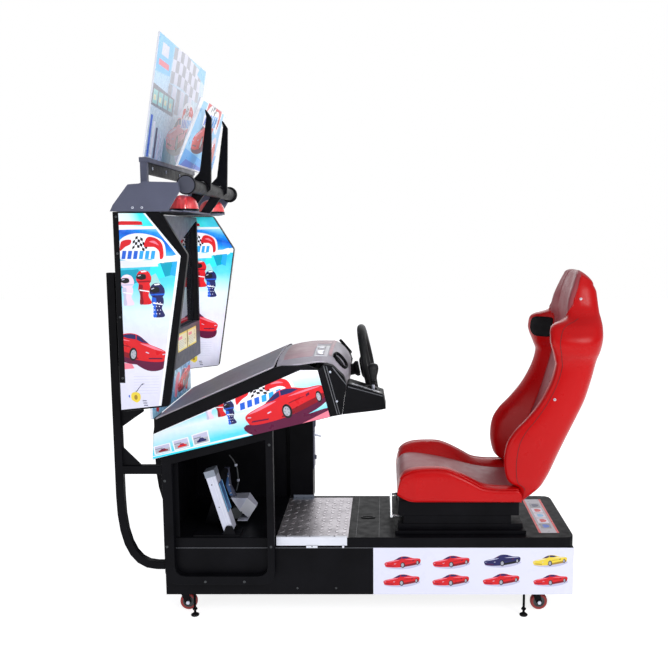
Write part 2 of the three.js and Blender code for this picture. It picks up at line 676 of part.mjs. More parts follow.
function addPedals() {
  const floor = BASE.deckTop + GAP;
  const ears = (x, y, half, top, setBack) => [-half, half - 5].map((offset) =>
    sidePlate([
      [x - 26 - setBack, floor + 4], [x + 26 - setBack, floor + 4], [x + 12, top, 8], [x - 12, top, 8],
    ], y + offset, y + offset + 5));
  add("pedal_bracket", join(
    block(-650, -470, -238, -156, floor, floor + 6),
    block(-650, -575, -158, 0, floor, floor + 6),
    ...ears(BRAKE.x, BRAKE.y, BRAKE.width / 2 + 8, BRAKE.z + 14, 0),
    ...ears(THROTTLE.x, THROTTLE.y, 24, THROTTLE.z + 14, THROTTLE.setBack),
    rod([THROTTLE.x, THROTTLE.y - 20, THROTTLE.z], [THROTTLE.x, THROTTLE.y + 20, THROTTLE.z], 5, 12),
    rod([BRAKE.x, BRAKE.y - 36, BRAKE.z], [BRAKE.x, BRAKE.y + 36, BRAKE.z], 5, 12),
  ), BLACK);

  const brake = new THREE.Group();
  brake.position.set(BRAKE.x, BRAKE.y, BRAKE.z);
  brake.rotation.y = -BRAKE.lean;
  cabinet.add(brake);
  const half = BRAKE.width / 2;
  const channel = cut(
    block(-24, 14, -half, half, -8, BRAKE.length),
    block(-25, 9, -half + 4, half - 4, 14, BRAKE.length + 1),
    rod([0, -half - 1, 0], [0, half + 1, 0], 5.4, 12),
  );
  add("brake_pedal", channel, SILVER, brake);

  const throttle = new THREE.Group();
  throttle.position.set(THROTTLE.x, THROTTLE.y, THROTTLE.z);
  cabinet.add(throttle);
  const arm = sidePlate([
    [-10, 12, 6], [10, 12, 6], [16, -60, 30], [40, -112], [18, -112], [-8, -60, 30],
  ].reverse(), -9, 9);
  const pad = sidePlate([
    [18, -108], [53, -156, 12], [85, -200, 8], [117, -150, 6], [86, -105, 8],
  ], -THROTTLE.width / 2, THROTTLE.width / 2);
  add("throttle_pedal", cut(join(arm, pad), rod([0, -10, 0], [0, 10, 0], 5.4, 12)), SILVER, throttle);
}

// ---- Seat ---------------------------------------------------------------------------------

// Cushion stations: [x, centre height, bolster height].
const CUSHION = [
  [138, 505, 508], [148, 540, 548], [170, 556, 572], [205, 562, 584], [265, 556, 590],
  [325, 545, 587], [376, 532, 567], [427, 518, 540], [466, 508, 519], [520, 500, 511], [606, 494, 508],
];
// Backrest stations: [z, bolster front, centre front, centre rear, half width].
const BACKREST = [
  [463, 622, 622, 652, 205], [512, 619, 619, 712, 215], [518, 572, 640, 716, 222],
  [560, 558, 655, 735, 230], [620, 550, 672, 762, 236], [690, 562, 690, 795, 240],
  [740, 594, 706, 818, 240], [785, 634, 722, 838, 240], [850, 684, 742, 868, 240],
  [930, 724, 764, 890, 240], [995, 740, 780, 905, 244], [1040, 722, 786, 916, 256],
  [1095, 706, 794, 926, 264], [1140, 716, 800, 929, 262], [1170, 748, 803, 925, 244],
  [1200, 778, 803, 919, 208], [1240, 790, 802, 908, 184], [1290, 802, 806, 896, 164],
  [1330, 812, 816, 882, 140], [1352, 834, 836, 862, 112],
];

function addSeat() {
  const { front, rear, half } = SEAT_BASE;
  const z0 = BASE.deckTop + GAP;
  const rails = [-1, 1].map((sign) =>
    block(front + 10, rear - 10, sign * RAIL.y - RAIL.width / 2, sign * RAIL.y + RAIL.width / 2,
      z0 + 10, z0 + 34));
  add("seat_base", join(block(front, rear, -half, half, z0, z0 + 14), ...rails), BLACK);
  const runners = [-1, 1].map((sign) =>
    block(CARRIAGE.front + 20, CARRIAGE.rear - 30, sign * RAIL.y - RAIL.width / 2,
      sign * RAIL.y + RAIL.width / 2, z0 + 34 + GAP, CARRIAGE.bottom + 1));
  add("seat_carriage", join(
    block(CARRIAGE.front, CARRIAGE.rear, -CARRIAGE.half, CARRIAGE.half, CARRIAGE.bottom, CARRIAGE.top),
    ...runners,
  ), BLACK);
  add("seat_lever", join(
    rod([116, -140, 372], [116, 140, 372], 6, 12),
    rod([116, -134, 372], [190, -134, 372], 5.5, 12),
    rod([116, 134, 372], [190, 134, 372], 5.5, 12),
  ), BLACK);

  const cushionHalf = 232;
  const columns = 12;
  const across = (column) => 2 * column / columns - 1;
  const rise = (share) => THREE.MathUtils.smoothstep(Math.abs(share), 0.45, 0.82);
  const steps = 12;
  const cushionX = (row) => 138 + (606 - 138) * row / steps;
  add("seat_cushion", sheetSolid(steps, columns, (row, column) => {
    const share = across(column);
    const x = cushionX(row);
    const low = lookUp(CUSHION, x, 1);
    const high = lookUp(CUSHION, x, 2);
    const edge = 26 * THREE.MathUtils.smoothstep(Math.abs(share), 0.9, 1);
    return [x, share * cushionHalf, low + (high - low) * rise(share) - edge];
  }, (row, column) => {
    const x = cushionX(row);
    const nose = 24 * (1 - THREE.MathUtils.smoothstep(x, 138, 200));
    return [x, across(column) * (cushionHalf - 6), CARRIAGE.top + GAP + 4 + nose];
  }), RED_VINYL);

  add("seat_back", sheetSolid(BACKREST.length - 1, columns, (row, column) => {
    const [z, bolster, centre, , wide] = BACKREST[row];
    const share = across(column);
    const x = centre + (bolster - centre) * rise(share);
    return [x, share * wide, z];
  }, (row, column) => {
    const [z, bolster, , back, wide] = BACKREST[row];
    const share = across(column);
    const wrap = Math.min(0.78 * (back - bolster), back - bolster - 16);
    return [Math.max(back - wrap * Math.abs(share) ** 3.2, bolster + 12), share * wide * 0.985, z];
  }), RED_VINYL);
}

addBase();
addRunningGear();
addPedestal();
addTower();
addTopper();
addDash();
addSteering();
addConsole();
addPedals();
addSeat();

export default cabinet;
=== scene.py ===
"""Looks of the sit-down racing cabinet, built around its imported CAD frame. Metres, +Z up.

+X points from the screen to the back of the seat, -Y is the driver's left.
"""
import json
import math

import bmesh
import bpy
from mathutils import Matrix, Vector
from mathutils.bvhtree import BVHTree
from mathutils.geometry import delaunay_2d_cdt


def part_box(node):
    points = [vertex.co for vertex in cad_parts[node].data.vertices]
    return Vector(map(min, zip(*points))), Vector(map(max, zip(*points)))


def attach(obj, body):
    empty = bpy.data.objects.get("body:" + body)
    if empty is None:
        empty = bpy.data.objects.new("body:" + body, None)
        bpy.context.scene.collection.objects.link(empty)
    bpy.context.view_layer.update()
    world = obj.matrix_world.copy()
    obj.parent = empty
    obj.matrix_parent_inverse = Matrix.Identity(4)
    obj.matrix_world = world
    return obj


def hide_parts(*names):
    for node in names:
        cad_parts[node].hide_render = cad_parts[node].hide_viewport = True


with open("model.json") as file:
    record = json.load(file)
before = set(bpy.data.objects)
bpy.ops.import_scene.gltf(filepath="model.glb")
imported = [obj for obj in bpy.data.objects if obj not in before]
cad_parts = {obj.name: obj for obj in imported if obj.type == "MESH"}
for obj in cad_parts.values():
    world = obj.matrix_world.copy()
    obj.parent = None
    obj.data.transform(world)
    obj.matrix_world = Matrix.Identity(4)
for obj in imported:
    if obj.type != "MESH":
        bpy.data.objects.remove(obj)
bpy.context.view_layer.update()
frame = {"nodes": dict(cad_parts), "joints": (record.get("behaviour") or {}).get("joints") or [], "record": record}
SIDES = (("left", -1), ("right", 1))
ENDS = ("front", "rear")
BODY_OF = {
    node: body for body, nodes in frame["record"]["behaviour"]["bodies"].items() for node in nodes
}
SLOT_OF = {row["node"]: row["material_slot"] for row in frame["record"]["subparts"]}


def set_inputs(node, values):
    for name, value in values.items():
        node.inputs[name].default_value = value


# ---- Camera, light and floor ---------------------------------------------------------------

FOCAL_PIXELS = 800.0
FRAME_WIDTH = 668.0
SENSOR = 36.0
CAMERA_PLACE = (0.090, -3.2, 1.5)
CAMERA_PITCH = math.radians(7.37)
CAMERA_SHIFT_X = -0.0763


def add_camera():
    data = bpy.data.cameras.new("camera")
    data.sensor_width = SENSOR
    data.lens = FOCAL_PIXELS / FRAME_WIDTH * SENSOR
    data.shift_x = CAMERA_SHIFT_X
    camera = bpy.data.objects.new("camera", data)
    camera.location = CAMERA_PLACE
    camera.rotation_euler = (math.pi / 2 - CAMERA_PITCH, 0, 0)
    bpy.context.scene.collection.objects.link(camera)
    bpy.context.scene.camera = camera


WORLD_COLOUR = (0.93, 0.95, 1, 1)
WORLD_STRENGTH = 0.42
SUN_DIRECTION = (-0.40, 0.62, -0.80)
SUN_STRENGTH = 0.38
SUN_SPREAD = math.radians(70)
STUDIO_CENTRE = (0, 0, 0.9)
# Name, place, what it is aimed at, size in metres, power in watts, cone in degrees.
AREA_LIGHTS = [
    ("key", (2.6, -3.4, 2.6), STUDIO_CENTRE, 1.8, 78, 180),
    ("fill", (-2.8, -3.2, 1.6), STUDIO_CENTRE, 2.4, 26, 180),
    ("back", (0.4, 3.6, 2.6), STUDIO_CENTRE, 3.0, 45, 180),
    ("far wing", (1.3, -2.4, 1.6), (-0.72, 0.42, 1.25), 0.5, 2.1, 20),
]
FLOOR_HALF = 14.0
FLOOR_GLOW = 0.84


def add_light(name, kind, power, direction, place=(0, 0, 0)):
    data = bpy.data.lights.new(name, kind)
    data.energy = power
    light = bpy.data.objects.new(name, data)
    light.location = place
    light.rotation_euler = Vector(direction).to_track_quat("-Z", "Y").to_euler()
    bpy.context.scene.collection.objects.link(light)
    return data


def add_world():
    """White behind the object, and a softer white light all around it."""
    world = bpy.data.worlds.new("studio")
    world.use_nodes = True
    tree = world.node_tree
    shown = tree.nodes["Background"]
    set_inputs(shown, {"Color": (1, 1, 1, 1), "Strength": 1.0})
    lighting = tree.nodes.new("ShaderNodeBackground")
    set_inputs(lighting, {"Color": WORLD_COLOUR, "Strength": WORLD_STRENGTH})
    path = tree.nodes.new("ShaderNodeLightPath")
    mix = tree.nodes.new("ShaderNodeMixShader")
    tree.links.new(path.outputs["Is Camera Ray"], mix.inputs[0])
    tree.links.new(lighting.outputs[0], mix.inputs[1])
    tree.links.new(shown.outputs[0], mix.inputs[2])
    tree.links.new(mix.outputs[0], tree.nodes["World Output"].inputs["Surface"])
    bpy.context.scene.world = world
    bpy.context.scene.view_settings.view_transform = "Standard"


def add_studio():
    """The lights, and a white floor that glows a little, so that only soft shadows show."""
    add_world()
    add_light("daylight", "SUN", SUN_STRENGTH, SUN_DIRECTION).angle = SUN_SPREAD
    for name, place, target, size, power, cone in AREA_LIGHTS:
        data = add_light(name, "AREA", power, Vector(target) - Vector(place), place)
        data.shape = "SQUARE"
        data.size = size
        data.spread = math.radians(cone)
    mesh = bpy.data.meshes.new("floor")
    corners = rectangle(-FLOOR_HALF, -FLOOR_HALF, FLOOR_HALF, FLOOR_HALF)
    mesh.from_pydata([(x, y, 0) for x, y in corners], [], [(0, 1, 2, 3)])
    floor = bpy.data.objects.new("floor", mesh)
    bpy.context.scene.collection.objects.link(floor)
    paper = surface("floor", (0.50, 0.50, 0.51), 0.9, vary=0.01, bump=0.0, specular=0.1)
    shader = paper.node_tree.nodes["Principled BSDF"]
    set_inputs(shader, {"Emission Color": (1, 1, 1, 1), "Emission Strength": FLOOR_GLOW})
    mesh.materials.append(paper)


# ---- Materials -----------------------------------------------------------------------------


def blank_material(name):
    material = bpy.data.materials.new(name)
    material.use_nodes = True
    tree = material.node_tree
    shader = tree.nodes["Principled BSDF"]
    return material, tree, shader


def object_noise(tree, scale, detail=3.0, stretch=(1, 1, 1)):
    """A noise texture in the object's own metres."""
    place = tree.nodes.new("ShaderNodeTexCoord")
    mapping = tree.nodes.new("ShaderNodeMapping")
    mapping.inputs["Scale"].default_value = stretch
    noise = tree.nodes.new("ShaderNodeTexNoise")
    set_inputs(noise, {"Scale": scale, "Detail": detail})
    tree.links.new(place.outputs["Object"], mapping.inputs["Vector"])
    tree.links.new(mapping.outputs["Vector"], noise.inputs["Vector"])
    return noise


def spread(tree, source, low, high):
    """Maps a 0 to 1 value onto low to high."""
    node = tree.nodes.new("ShaderNodeMapRange")
    set_inputs(node, {"From Min": 0.3, "From Max": 0.7, "To Min": low, "To Max": high})
    tree.links.new(source, node.inputs["Value"])
    return node.outputs["Result"]


def tinted(tree, source, dark, light):
    """Mixes two colours by a 0 to 1 value."""
    ramp = tree.nodes.new("ShaderNodeValToRGB")
    ramp.color_ramp.elements[0].position = 0.3
    ramp.color_ramp.elements[1].position = 0.7
    ramp.color_ramp.elements[0].color = (*dark, 1)
    ramp.color_ramp.elements[1].color = (*light, 1)
    tree.links.new(source, ramp.inputs["Fac"])
    return ramp.outputs["Color"]


def scaled(colour, factor):
    return tuple(min(1.0, channel * factor) for channel in colour)


def surface(
    name, colour, roughness, metallic=0.0, vary=0.06, patch=9.0, grain=700.0, bump=0.12,
    coat=0.0, stretch=(1, 1, 1), rough_vary=0.07, specular=0.5,
):
    """A finish with uneven colour and gloss and a fine grain."""
    material, tree, shader = blank_material(name)
    patches = object_noise(tree, patch, 4.0)
    tree.links.new(
        tinted(tree, patches.outputs["Fac"], scaled(colour, 1 - vary), scaled(colour, 1 + vary)),
        shader.inputs["Base Color"],
    )
    smear = object_noise(tree, patch * 3.7, 5.0, stretch)
    tree.links.new(
        spread(tree, smear.outputs["Fac"], max(0.02, roughness - rough_vary), roughness + rough_vary),
        shader.inputs["Roughness"],
    )
    set_inputs(shader, {
        "Metallic": metallic,
        "Specular IOR Level": specular,
        "Coat Weight": coat,
        "Coat Roughness": COAT_ROUGHNESS,
    })
    if bump:
        texture = object_noise(tree, grain, 2.0, stretch)
        relief = tree.nodes.new("ShaderNodeBump")
        set_inputs(relief, {"Strength": bump, "Distance": 0.0004})
        tree.links.new(texture.outputs["Fac"], relief.inputs["Height"])
        tree.links.new(relief.outputs["Normal"], shader.inputs["Normal"])
    return material


MATERIALS = {}
# Colour, roughness, and what sets each finish apart from a plain one.
FINISHES = {
    "powder_black": ((0.0042, 0.0042, 0.0056), 0.42, dict(vary=0.25, bump=0.22, specular=0.06)),
    "plastic_black": (
        (0.0046, 0.0046, 0.0058), 0.46,
        dict(vary=0.2, grain=1400, bump=0.3, specular=0.06),
    ),
    "edge_black": ((0.004, 0.004, 0.005), 0.36, dict(vary=0.2, bump=0.1, specular=0.06)),
    "disc_grey": ((0.062, 0.066, 0.092), 0.5, dict(vary=0.05, bump=0.05, specular=0.2)),
    "powder_grey": ((0.074, 0.080, 0.125), 0.45, dict(vary=0.08, bump=0.2, specular=0.3)),
    "bezel_grey": ((0.050, 0.051, 0.070), 0.5, dict(vary=0.06, grain=1400, bump=0.2)),
    "moulded_grey": ((0.33, 0.305, 0.355), 0.5, dict(vary=0.05, grain=900, bump=0.28)),
    "faded_red": ((0.36, 0.20, 0.235), 0.42, dict(vary=0.1, grain=900, bump=0.15)),
    "key_grey": ((0.56, 0.56, 0.60), 0.4, dict(vary=0.03, bump=0.1)),
    "zinc": ((0.60, 0.63, 0.74), 0.34, dict(metallic=0.6, vary=0.08, grain=300, bump=0.05)),
    "pedal_silver": ((0.56, 0.58, 0.70), 0.4, dict(metallic=0.35, vary=0.08, grain=300, bump=0.05)),
    "pedal_blue": ((0.05, 0.13, 0.33), 0.35, dict(metallic=0.3, vary=0.2, bump=0.05)),
    "aluminium": (
        (0.40, 0.375, 0.40), 0.40,
        dict(metallic=0.85, vary=0.14, patch=7, grain=260, bump=0.08),
    ),
    "tread_crest": ((0.60, 0.57, 0.60), 0.34, dict(metallic=0.8, vary=0.1, grain=300, bump=0.05)),
    "seam_dark": ((0.11, 0.002, 0.003), 0.5, dict(vary=0.1, bump=0.1)),
    # A dark grey for small trims, screws and ribs; on the deck's lower edges it is painted highlight.
    "grey_trim_and_highlight": ((0.075, 0.078, 0.09), 0.5, dict(vary=0.1, bump=0.1)),
    "slate": ((0.24, 0.27, 0.33), 0.4, dict(metallic=0.5, vary=0.08, bump=0.05)),
    "badge_yellow": ((0.80, 0.48, 0.02), 0.35, dict(vary=0.05, bump=0.05)),
    # A pale trim; on the throttle's foot block it is painted highlight.
    "white_trim_and_highlight": ((0.70, 0.72, 0.80), 0.35, dict(metallic=0.2, vary=0.05)),
    "chrome": ((0.70, 0.71, 0.74), 0.18, dict(metallic=1.0, vary=0.04, bump=0.0)),
    "red_vinyl": (
        (0.47, 0.0015, 0.0025), 0.30,
        dict(vary=0.04, patch=4, grain=900, bump=0.16, coat=0.03, specular=0.18),
    ),
    "red_insert": ((0.29, 0.045, 0.055), 0.46, dict(vary=0.08, patch=6, grain=1600, bump=0.45)),
    "red_tread": ((0.25, 0.012, 0.012), 0.5, dict(vary=0.12, bump=0.3)),
    "hub_grey": ((0.05, 0.055, 0.06), 0.45, dict(vary=0.1)),
    "rubber_black": ((0.006, 0.006, 0.007), 0.5, dict(vary=0.2, grain=1500, bump=0.5, specular=0.22)),
    "button_white": ((0.62, 0.62, 0.66), 0.3, dict(vary=0.03, bump=0.05)),
    "mesh_black": ((0.004, 0.004, 0.005), 0.75, dict(vary=0.3, grain=600, bump=0.5, specular=0.2)),
    "screen": ((0.006, 0.007, 0.010), 0.05, dict(vary=0.2, bump=0.0, coat=0.5, rough_vary=0.02)),
}
COAT_ROUGHNESS = 0.08
PRINT_SPECULAR = 0.22
PRINT_COAT = 0.04
# The inks of the artwork.
PRINT_COLOURS = {
    "ink_white": (0.82, 0.83, 0.90),
    "ink_panel": (0.70, 0.71, 0.84),
    "ink_lavender": (0.50, 0.50, 0.68),
    "ink_black": (0.010, 0.010, 0.013),
    "ink_grey": (0.22, 0.23, 0.28),
    "ink_silver": (0.40, 0.41, 0.47),
    "ink_navy": (0.018, 0.018, 0.10),
    "ink_blue": (0.015, 0.11, 0.62),
    "ink_azure": (0.02, 0.34, 0.85),
    "ink_sky": (0.22, 0.56, 0.90),
    "ink_cyan": (0.03, 0.70, 0.88),
    "ink_teal": (0.005, 0.30, 0.44),
    "ink_mint": (0.32, 0.62, 0.62),
    "ink_red": (0.62, 0.012, 0.018),
    "ink_dark_red": (0.22, 0.004, 0.012),
    "ink_rose": (0.80, 0.20, 0.28),
    "ink_pink": (0.78, 0.62, 0.74),
    "ink_plum": (0.10, 0.006, 0.04),
    "ink_yellow": (0.78, 0.60, 0.06),
    "ink_dark_yellow": (0.35, 0.22, 0.03),
    "ink_cream": (0.76, 0.72, 0.50),
}


def make_materials():
    """Every finish and ink; an ink is a smooth, slightly coated print."""
    for name, (colour, roughness, extra) in FINISHES.items():
        MATERIALS[name] = surface(name, colour, roughness, **extra)
    for name, colour in PRINT_COLOURS.items():
        MATERIALS[name] = surface(
            name, colour, 0.30, vary=0.012, patch=6, grain=1800, bump=0.04, coat=PRINT_COAT,
            rough_vary=0.04, specular=PRINT_SPECULAR,
        )


def graded_print(name, direction, stops, clouds=0.0):
    """A glossy print whose colour changes along a direction, at (metres, colour) stops."""
    material, tree, shader = blank_material(name)
    place = tree.nodes.new("ShaderNodeTexCoord")
    along = tree.nodes.new("ShaderNodeVectorMath")
    along.operation = "DOT_PRODUCT"
    along.inputs[1].default_value = direction
    tree.links.new(place.outputs["Object"], along.inputs[0])
    noise = object_noise(tree, 14.0, 4.0, (1, 1, 3))
    shift = tree.nodes.new("ShaderNodeMath")
    shift.operation = "MULTIPLY_ADD"
    shift.inputs[1].default_value = clouds
    tree.links.new(noise.outputs["Fac"], shift.inputs[0])
    tree.links.new(along.outputs["Value"], shift.inputs[2])
    low, high = stops[0][0], stops[-1][0]
    scale = tree.nodes.new("ShaderNodeMapRange")
    set_inputs(scale, {"From Min": low, "From Max": high})
    tree.links.new(shift.outputs[0], scale.inputs["Value"])
    ramp = tree.nodes.new("ShaderNodeValToRGB")
    elements = ramp.color_ramp.elements
    while len(elements) < len(stops):
        elements.new(0.5)
    for element, (at, colour) in zip(elements, stops):
        element.position = (at - low) / (high - low)
        element.color = (*colour, 1)
    tree.links.new(scale.outputs["Result"], ramp.inputs["Fac"])
    tree.links.new(ramp.outputs["Color"], shader.inputs["Base Color"])
    gloss = object_noise(tree, 40.0, 3.0)
    tree.links.new(spread(tree, gloss.outputs["Fac"], 0.22, 0.32), shader.inputs["Roughness"])
    set_inputs(shader, {
        "Specular IOR Level": PRINT_SPECULAR,
        "Coat Weight": PRINT_COAT,
        "Coat Roughness": COAT_ROUGHNESS,
    })
    MATERIALS[name] = material


DASH_TILT = 0.2451


def make_graded_prints():
    """Skies of the artwork, in stops of metres along each print's direction."""
    white, sky = (0.82, 0.84, 0.92), (0.25, 0.62, 0.88)
    cyan, azure, deep = (0.06, 0.62, 0.82), (0.02, 0.30, 0.85), (0.01, 0.10, 0.62)
    graded_print("wing_low", (0, 0, 1), [
        (0.86, (0.66, 0.66, 0.80)), (1.02, (0.72, 0.72, 0.86)), (1.12, (0.66, 0.66, 0.82)),
        (1.22, (0.66, 0.80, 0.90)), (1.31, (0.10, 0.62, 0.78)), (1.39, (0.03, 0.48, 0.66)),
    ])
    graded_print("wing_sky", (0.25, 0, 1), [
        (1.24, sky), (1.272, azure), (1.30, deep), (1.325, azure), (1.35, (0.3, 0.72, 0.92)),
    ], 0.02)
    graded_print("wing_top", (0.8, 0, 0.3), [
        (-0.20, white), (-0.165, (0.66, 0.92, 0.92)), (-0.135, (0.05, 0.78, 0.88)), (-0.09, cyan),
    ])
    graded_print("dash_sky", (-DASH_TILT, 0, 1), [
        (0.83, (0.05, 0.62, 0.82)), (0.88, (0.10, 0.68, 0.86)), (0.915, (0.46, 0.76, 0.88)),
        (0.95, (0.72, 0.82, 0.86)), (0.985, (0.30, 0.72, 0.82)), (1.03, (0.66, 0.80, 0.86)),
    ], 0.03)
    graded_print("header_sky", (0, -0.2, 1), [
        (1.72, (0.20, 0.32, 0.62)), (1.84, (0.42, 0.55, 0.74)), (1.95, (0.50, 0.62, 0.70)),
        (2.05, (0.56, 0.70, 0.86)), (2.20, (0.28, 0.62, 0.86)),
    ], 0.04)
    graded_print("neck_sky", (0, 0.3, 1), [
        (0.76, (0.35, 0.66, 0.86)), (0.86, (0.16, 0.42, 0.72)), (0.96, (0.42, 0.68, 0.86)),
        (1.02, (0.22, 0.42, 0.70)),
    ], 0.08)


# ---- Mesh helpers --------------------------------------------------------------------------

MM = 0.001
WELD_DISTANCE = 0.00001
# Neighbouring CAD faces within this many degrees are taken as one face.
WELD_ANGLE = 1.0
# A lathe's ends on its axis keep this radius, so that no two points fall together.
LEAST_RADIUS = 0.00005


def mesh_piece(name, bm, materials, body, slot, replaces=(), angle=35):
    """Puts a bmesh in the scene on a CAD body, and hides the CAD nodes it stands for.

    The angle, in degrees, is the fold from which an edge is shaded sharp. The slot is not used.
    """
    mesh = bpy.data.meshes.new(name)
    bmesh.ops.recalc_face_normals(bm, faces=bm.faces)
    bm.to_mesh(mesh)
    bm.free()
    for material in materials:
        mesh.materials.append(MATERIALS[material])
    mesh.shade_smooth()
    mesh.set_sharp_from_angle(angle=math.radians(angle))
    piece = bpy.data.objects.new(name, mesh)
    bpy.context.scene.collection.objects.link(piece)
    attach(piece, body)
    if replaces:
        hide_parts(*replaces)
    return piece


def bevel(piece, width):
    modifier = piece.modifiers.new("round_edges", "BEVEL")
    modifier.width = width
    modifier.segments = 2
    modifier.limit_method = "ANGLE"
    modifier.angle_limit = math.radians(30)
    modifier.harden_normals = True
    modifier.use_clamp_overlap = True


def refined(node, material, width):
    """Stands for a CAD node: the same faces with rounded edges and a real finish."""
    bm = bmesh.new()
    bm.from_mesh(frame["nodes"][node].data)
    bmesh.ops.remove_doubles(bm, verts=bm.verts, dist=0.00002)
    bmesh.ops.dissolve_limit(
        bm, angle_limit=math.radians(WELD_ANGLE), verts=bm.verts, edges=bm.edges
    )
    piece = mesh_piece(f"{node}_fine", bm, [material], BODY_OF[node], SLOT_OF[node], [node])
    bevel(piece, width)


def add_faces(bm, points, faces, material=0):
    """Adds points and faces to a bmesh and returns the new vertices."""
    verts = [bm.verts.new(point) for point in points]
    for face in faces:
        made = bm.faces.new([verts[index] for index in face])
        made.material_index = material
    return verts


def add_box(bm, low, high, material=0, turn=None):
    """A box between two corners, turned by a matrix if one is given."""
    points = [
        Vector((x, y, z))
        for x in (low[0], high[0]) for y in (low[1], high[1]) for z in (low[2], high[2])
    ]
    if turn is not None:
        points = [turn @ point for point in points]
    faces = [(0, 1, 3, 2), (4, 6, 7, 5), (0, 4, 5, 1), (2, 3, 7, 6), (0, 2, 6, 4), (1, 5, 7, 3)]
    add_faces(bm, points, faces, material)


def add_rings(bm, rings, material=0, closed_ends=True, ring_materials=None):
    """Joins loops of equal length into a skin, and closes both ends with a face."""
    loops = [[bm.verts.new(point) for point in ring] for ring in rings]
    count = len(loops[0])
    for index, (near, far) in enumerate(zip(loops, loops[1:])):
        chosen = ring_materials[index] if ring_materials else material
        for step in range(count):
            after = (step + 1) % count
            face = bm.faces.new([near[step], near[after], far[after], far[step]])
            face.material_index = chosen
    if closed_ends:
        bm.faces.new(loops[0]).material_index = material
        bm.faces.new(loops[-1]).material_index = material
    return loops


def joint_named(name):
    return next(joint for joint in frame["joints"] if joint["name"] == name)


def side_face(node, sign):
    """The Y of a CAD node's outermost face on the left (-1) or the right (1)."""
    low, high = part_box(node)
    return low.y if sign < 0 else high.y


def frame_along(direction):
    """A matrix that takes +Z to the given direction."""
    return Vector(direction).normalized().to_track_quat("Z", "Y").to_matrix().to_4x4()


def lathe_rings(profile, place, direction, sides):
    """Rings about an axis, one for each (radius, height) point of a profile."""
    turn = Matrix.Translation(place) @ frame_along(direction)
    return [
        [
            turn @ Vector((
                max(radius, LEAST_RADIUS) * math.cos(2 * math.pi * step / sides),
                max(radius, LEAST_RADIUS) * math.sin(2 * math.pi * step / sides),
                height,
            ))
            for step in range(sides)
        ]
        for radius, height in profile
    ]


def add_lathe(bm, profile, place, direction, sides=32, material=0):
    """Turns a profile about an axis; its ends are closed."""
    add_rings(bm, lathe_rings(profile, place, direction, sides), material)


def add_hollow_lathe(bm, profile, place, direction, sides, ring_materials=None):
    """Turns a closed profile, whose last point is its first, into a ring-shaped body."""
    add_rings(bm, lathe_rings(profile, place, direction, sides), 0, False, ring_materials)


def add_sweep(bm, points, radius, sides=12, material=0):
    """A round bar along a list of points."""
    path = [Vector(point) for point in points]
    rings = []
    side = None
    for index, point in enumerate(path):
        ahead = path[min(index + 1, len(path) - 1)]
        behind = path[max(index - 1, 0)]
        along = (ahead - behind).normalized()
        if side is None:
            side = along.orthogonal().normalized()
        side = (side - along * side.dot(along)).normalized()
        other = along.cross(side)
        rings.append([
            point + radius * (math.cos(angle) * side + math.sin(angle) * other)
            for angle in (2 * math.pi * step / sides for step in range(sides))
        ])
    return add_rings(bm, rings, material)


def add_screw(bm, place, direction, radius=0.005, height=0.002, material=0):
    """A domed screw head with a cross recess."""
    turn = Matrix.Translation(place) @ frame_along(direction)
    profile = [(0, 0), (radius, 0), (radius * 0.96, height * 0.45), (radius * 0.72, height * 0.9),
               (radius * 0.4, height), (0, height)]
    add_lathe(bm, profile, place, direction, 14, material)
    arm = radius * 0.55
    for long, wide in ((arm, arm * 0.22), (arm * 0.22, arm)):
        add_box(bm, (-long, -wide, height * 0.9), (long, wide, height * 1.12), 1, turn)


def spline(keys, values, key):
    """Smooth interpolation through a table, without overshoot at its ends."""
    if key <= keys[0]:
        return values[0]
    if key >= keys[-1]:
        return values[-1]
    index = next(i for i in range(1, len(keys)) if keys[i] >= key)
    low, high = index - 1, index
    span = keys[high] - keys[low]
    share = (key - keys[low]) / span
    slopes = []
    for at in (low, high):
        before, after = max(at - 1, 0), min(at + 1, len(keys) - 1)
        slopes.append((values[after] - values[before]) / (keys[after] - keys[before]) * span)
    square, cube = share * share, share ** 3
    return (
        (2 * cube - 3 * square + 1) * values[low] + (cube - 2 * square + share) * slopes[0]
        + (3 * square - 2 * cube) * values[high] + (cube - square) * slopes[1]
    )


def spline_points(points, per_span=6):
    """A smooth run of points through control points of any dimension."""
    keys = list(range(len(points)))
    columns = list(zip(*points))
    total = (len(points) - 1) * per_span
    return [
        tuple(spline(keys, column, step / per_span) for column in columns)
        for step in range(total + 1)
    ]


# ---- Seat ----------------------------------------------------------------------------------

# Backrest stations in millimetres: height, bolster front, centre front, centre rear, half width.
BACKREST = [
    (457, 610, 612, 640, 196), (490, 609, 614, 684, 210), (512, 604, 617, 708, 217),
    (530, 574, 640, 722, 222), (560, 559, 655, 738, 230), (620, 551, 672, 764, 236),
    (690, 562, 690, 795, 240), (740, 592, 706, 818, 240), (785, 634, 722, 838, 240),
    (850, 684, 742, 866, 239), (930, 724, 764, 889, 238), (995, 739, 780, 905, 236),
    (1015, 733, 783, 910, 243), (1038, 726, 787, 916, 260), (1062, 717, 790, 921, 269),
    (1085, 711, 793, 925, 270), (1104, 711, 796, 927, 264), (1122, 712, 798, 928, 252),
    (1138, 717, 801, 928, 240), (1149, 731, 803, 927, 228), (1158, 758, 804, 926, 214),
    (1167, 780, 804, 925, 200), (1180, 786, 804, 923, 184), (1205, 790, 804, 921, 166),
    (1240, 797, 809, 917, 153), (1290, 815, 820, 913, 138), (1325, 829, 833, 904, 122),
]
BACK_KEYS = [row[0] for row in BACKREST]
HEAD_SLOPE = 0.034
# A section's control points are numbered from its front centre; a skin has this many steps between.
SECTION_STEPS = 4
# The softer insert starts above this height.
INSERT_FOOT = 520
# Height, and place round the section, of the white caps on each side of the backrest.
SIDE_CAPS = ((1239, 8.95), (865, 8.35))
BACK_ROWS = 150
CROWN_ROWS = 10
CROWN_HEIGHT = 0.030


def insert_edge(height):
    """How far round the section the softer insert reaches; it widens over the headrest."""
    return spline([1100, 1150, 1185, 1225, 1400], [3.0, 4.0, 6.6, 7.9, 7.9], height)


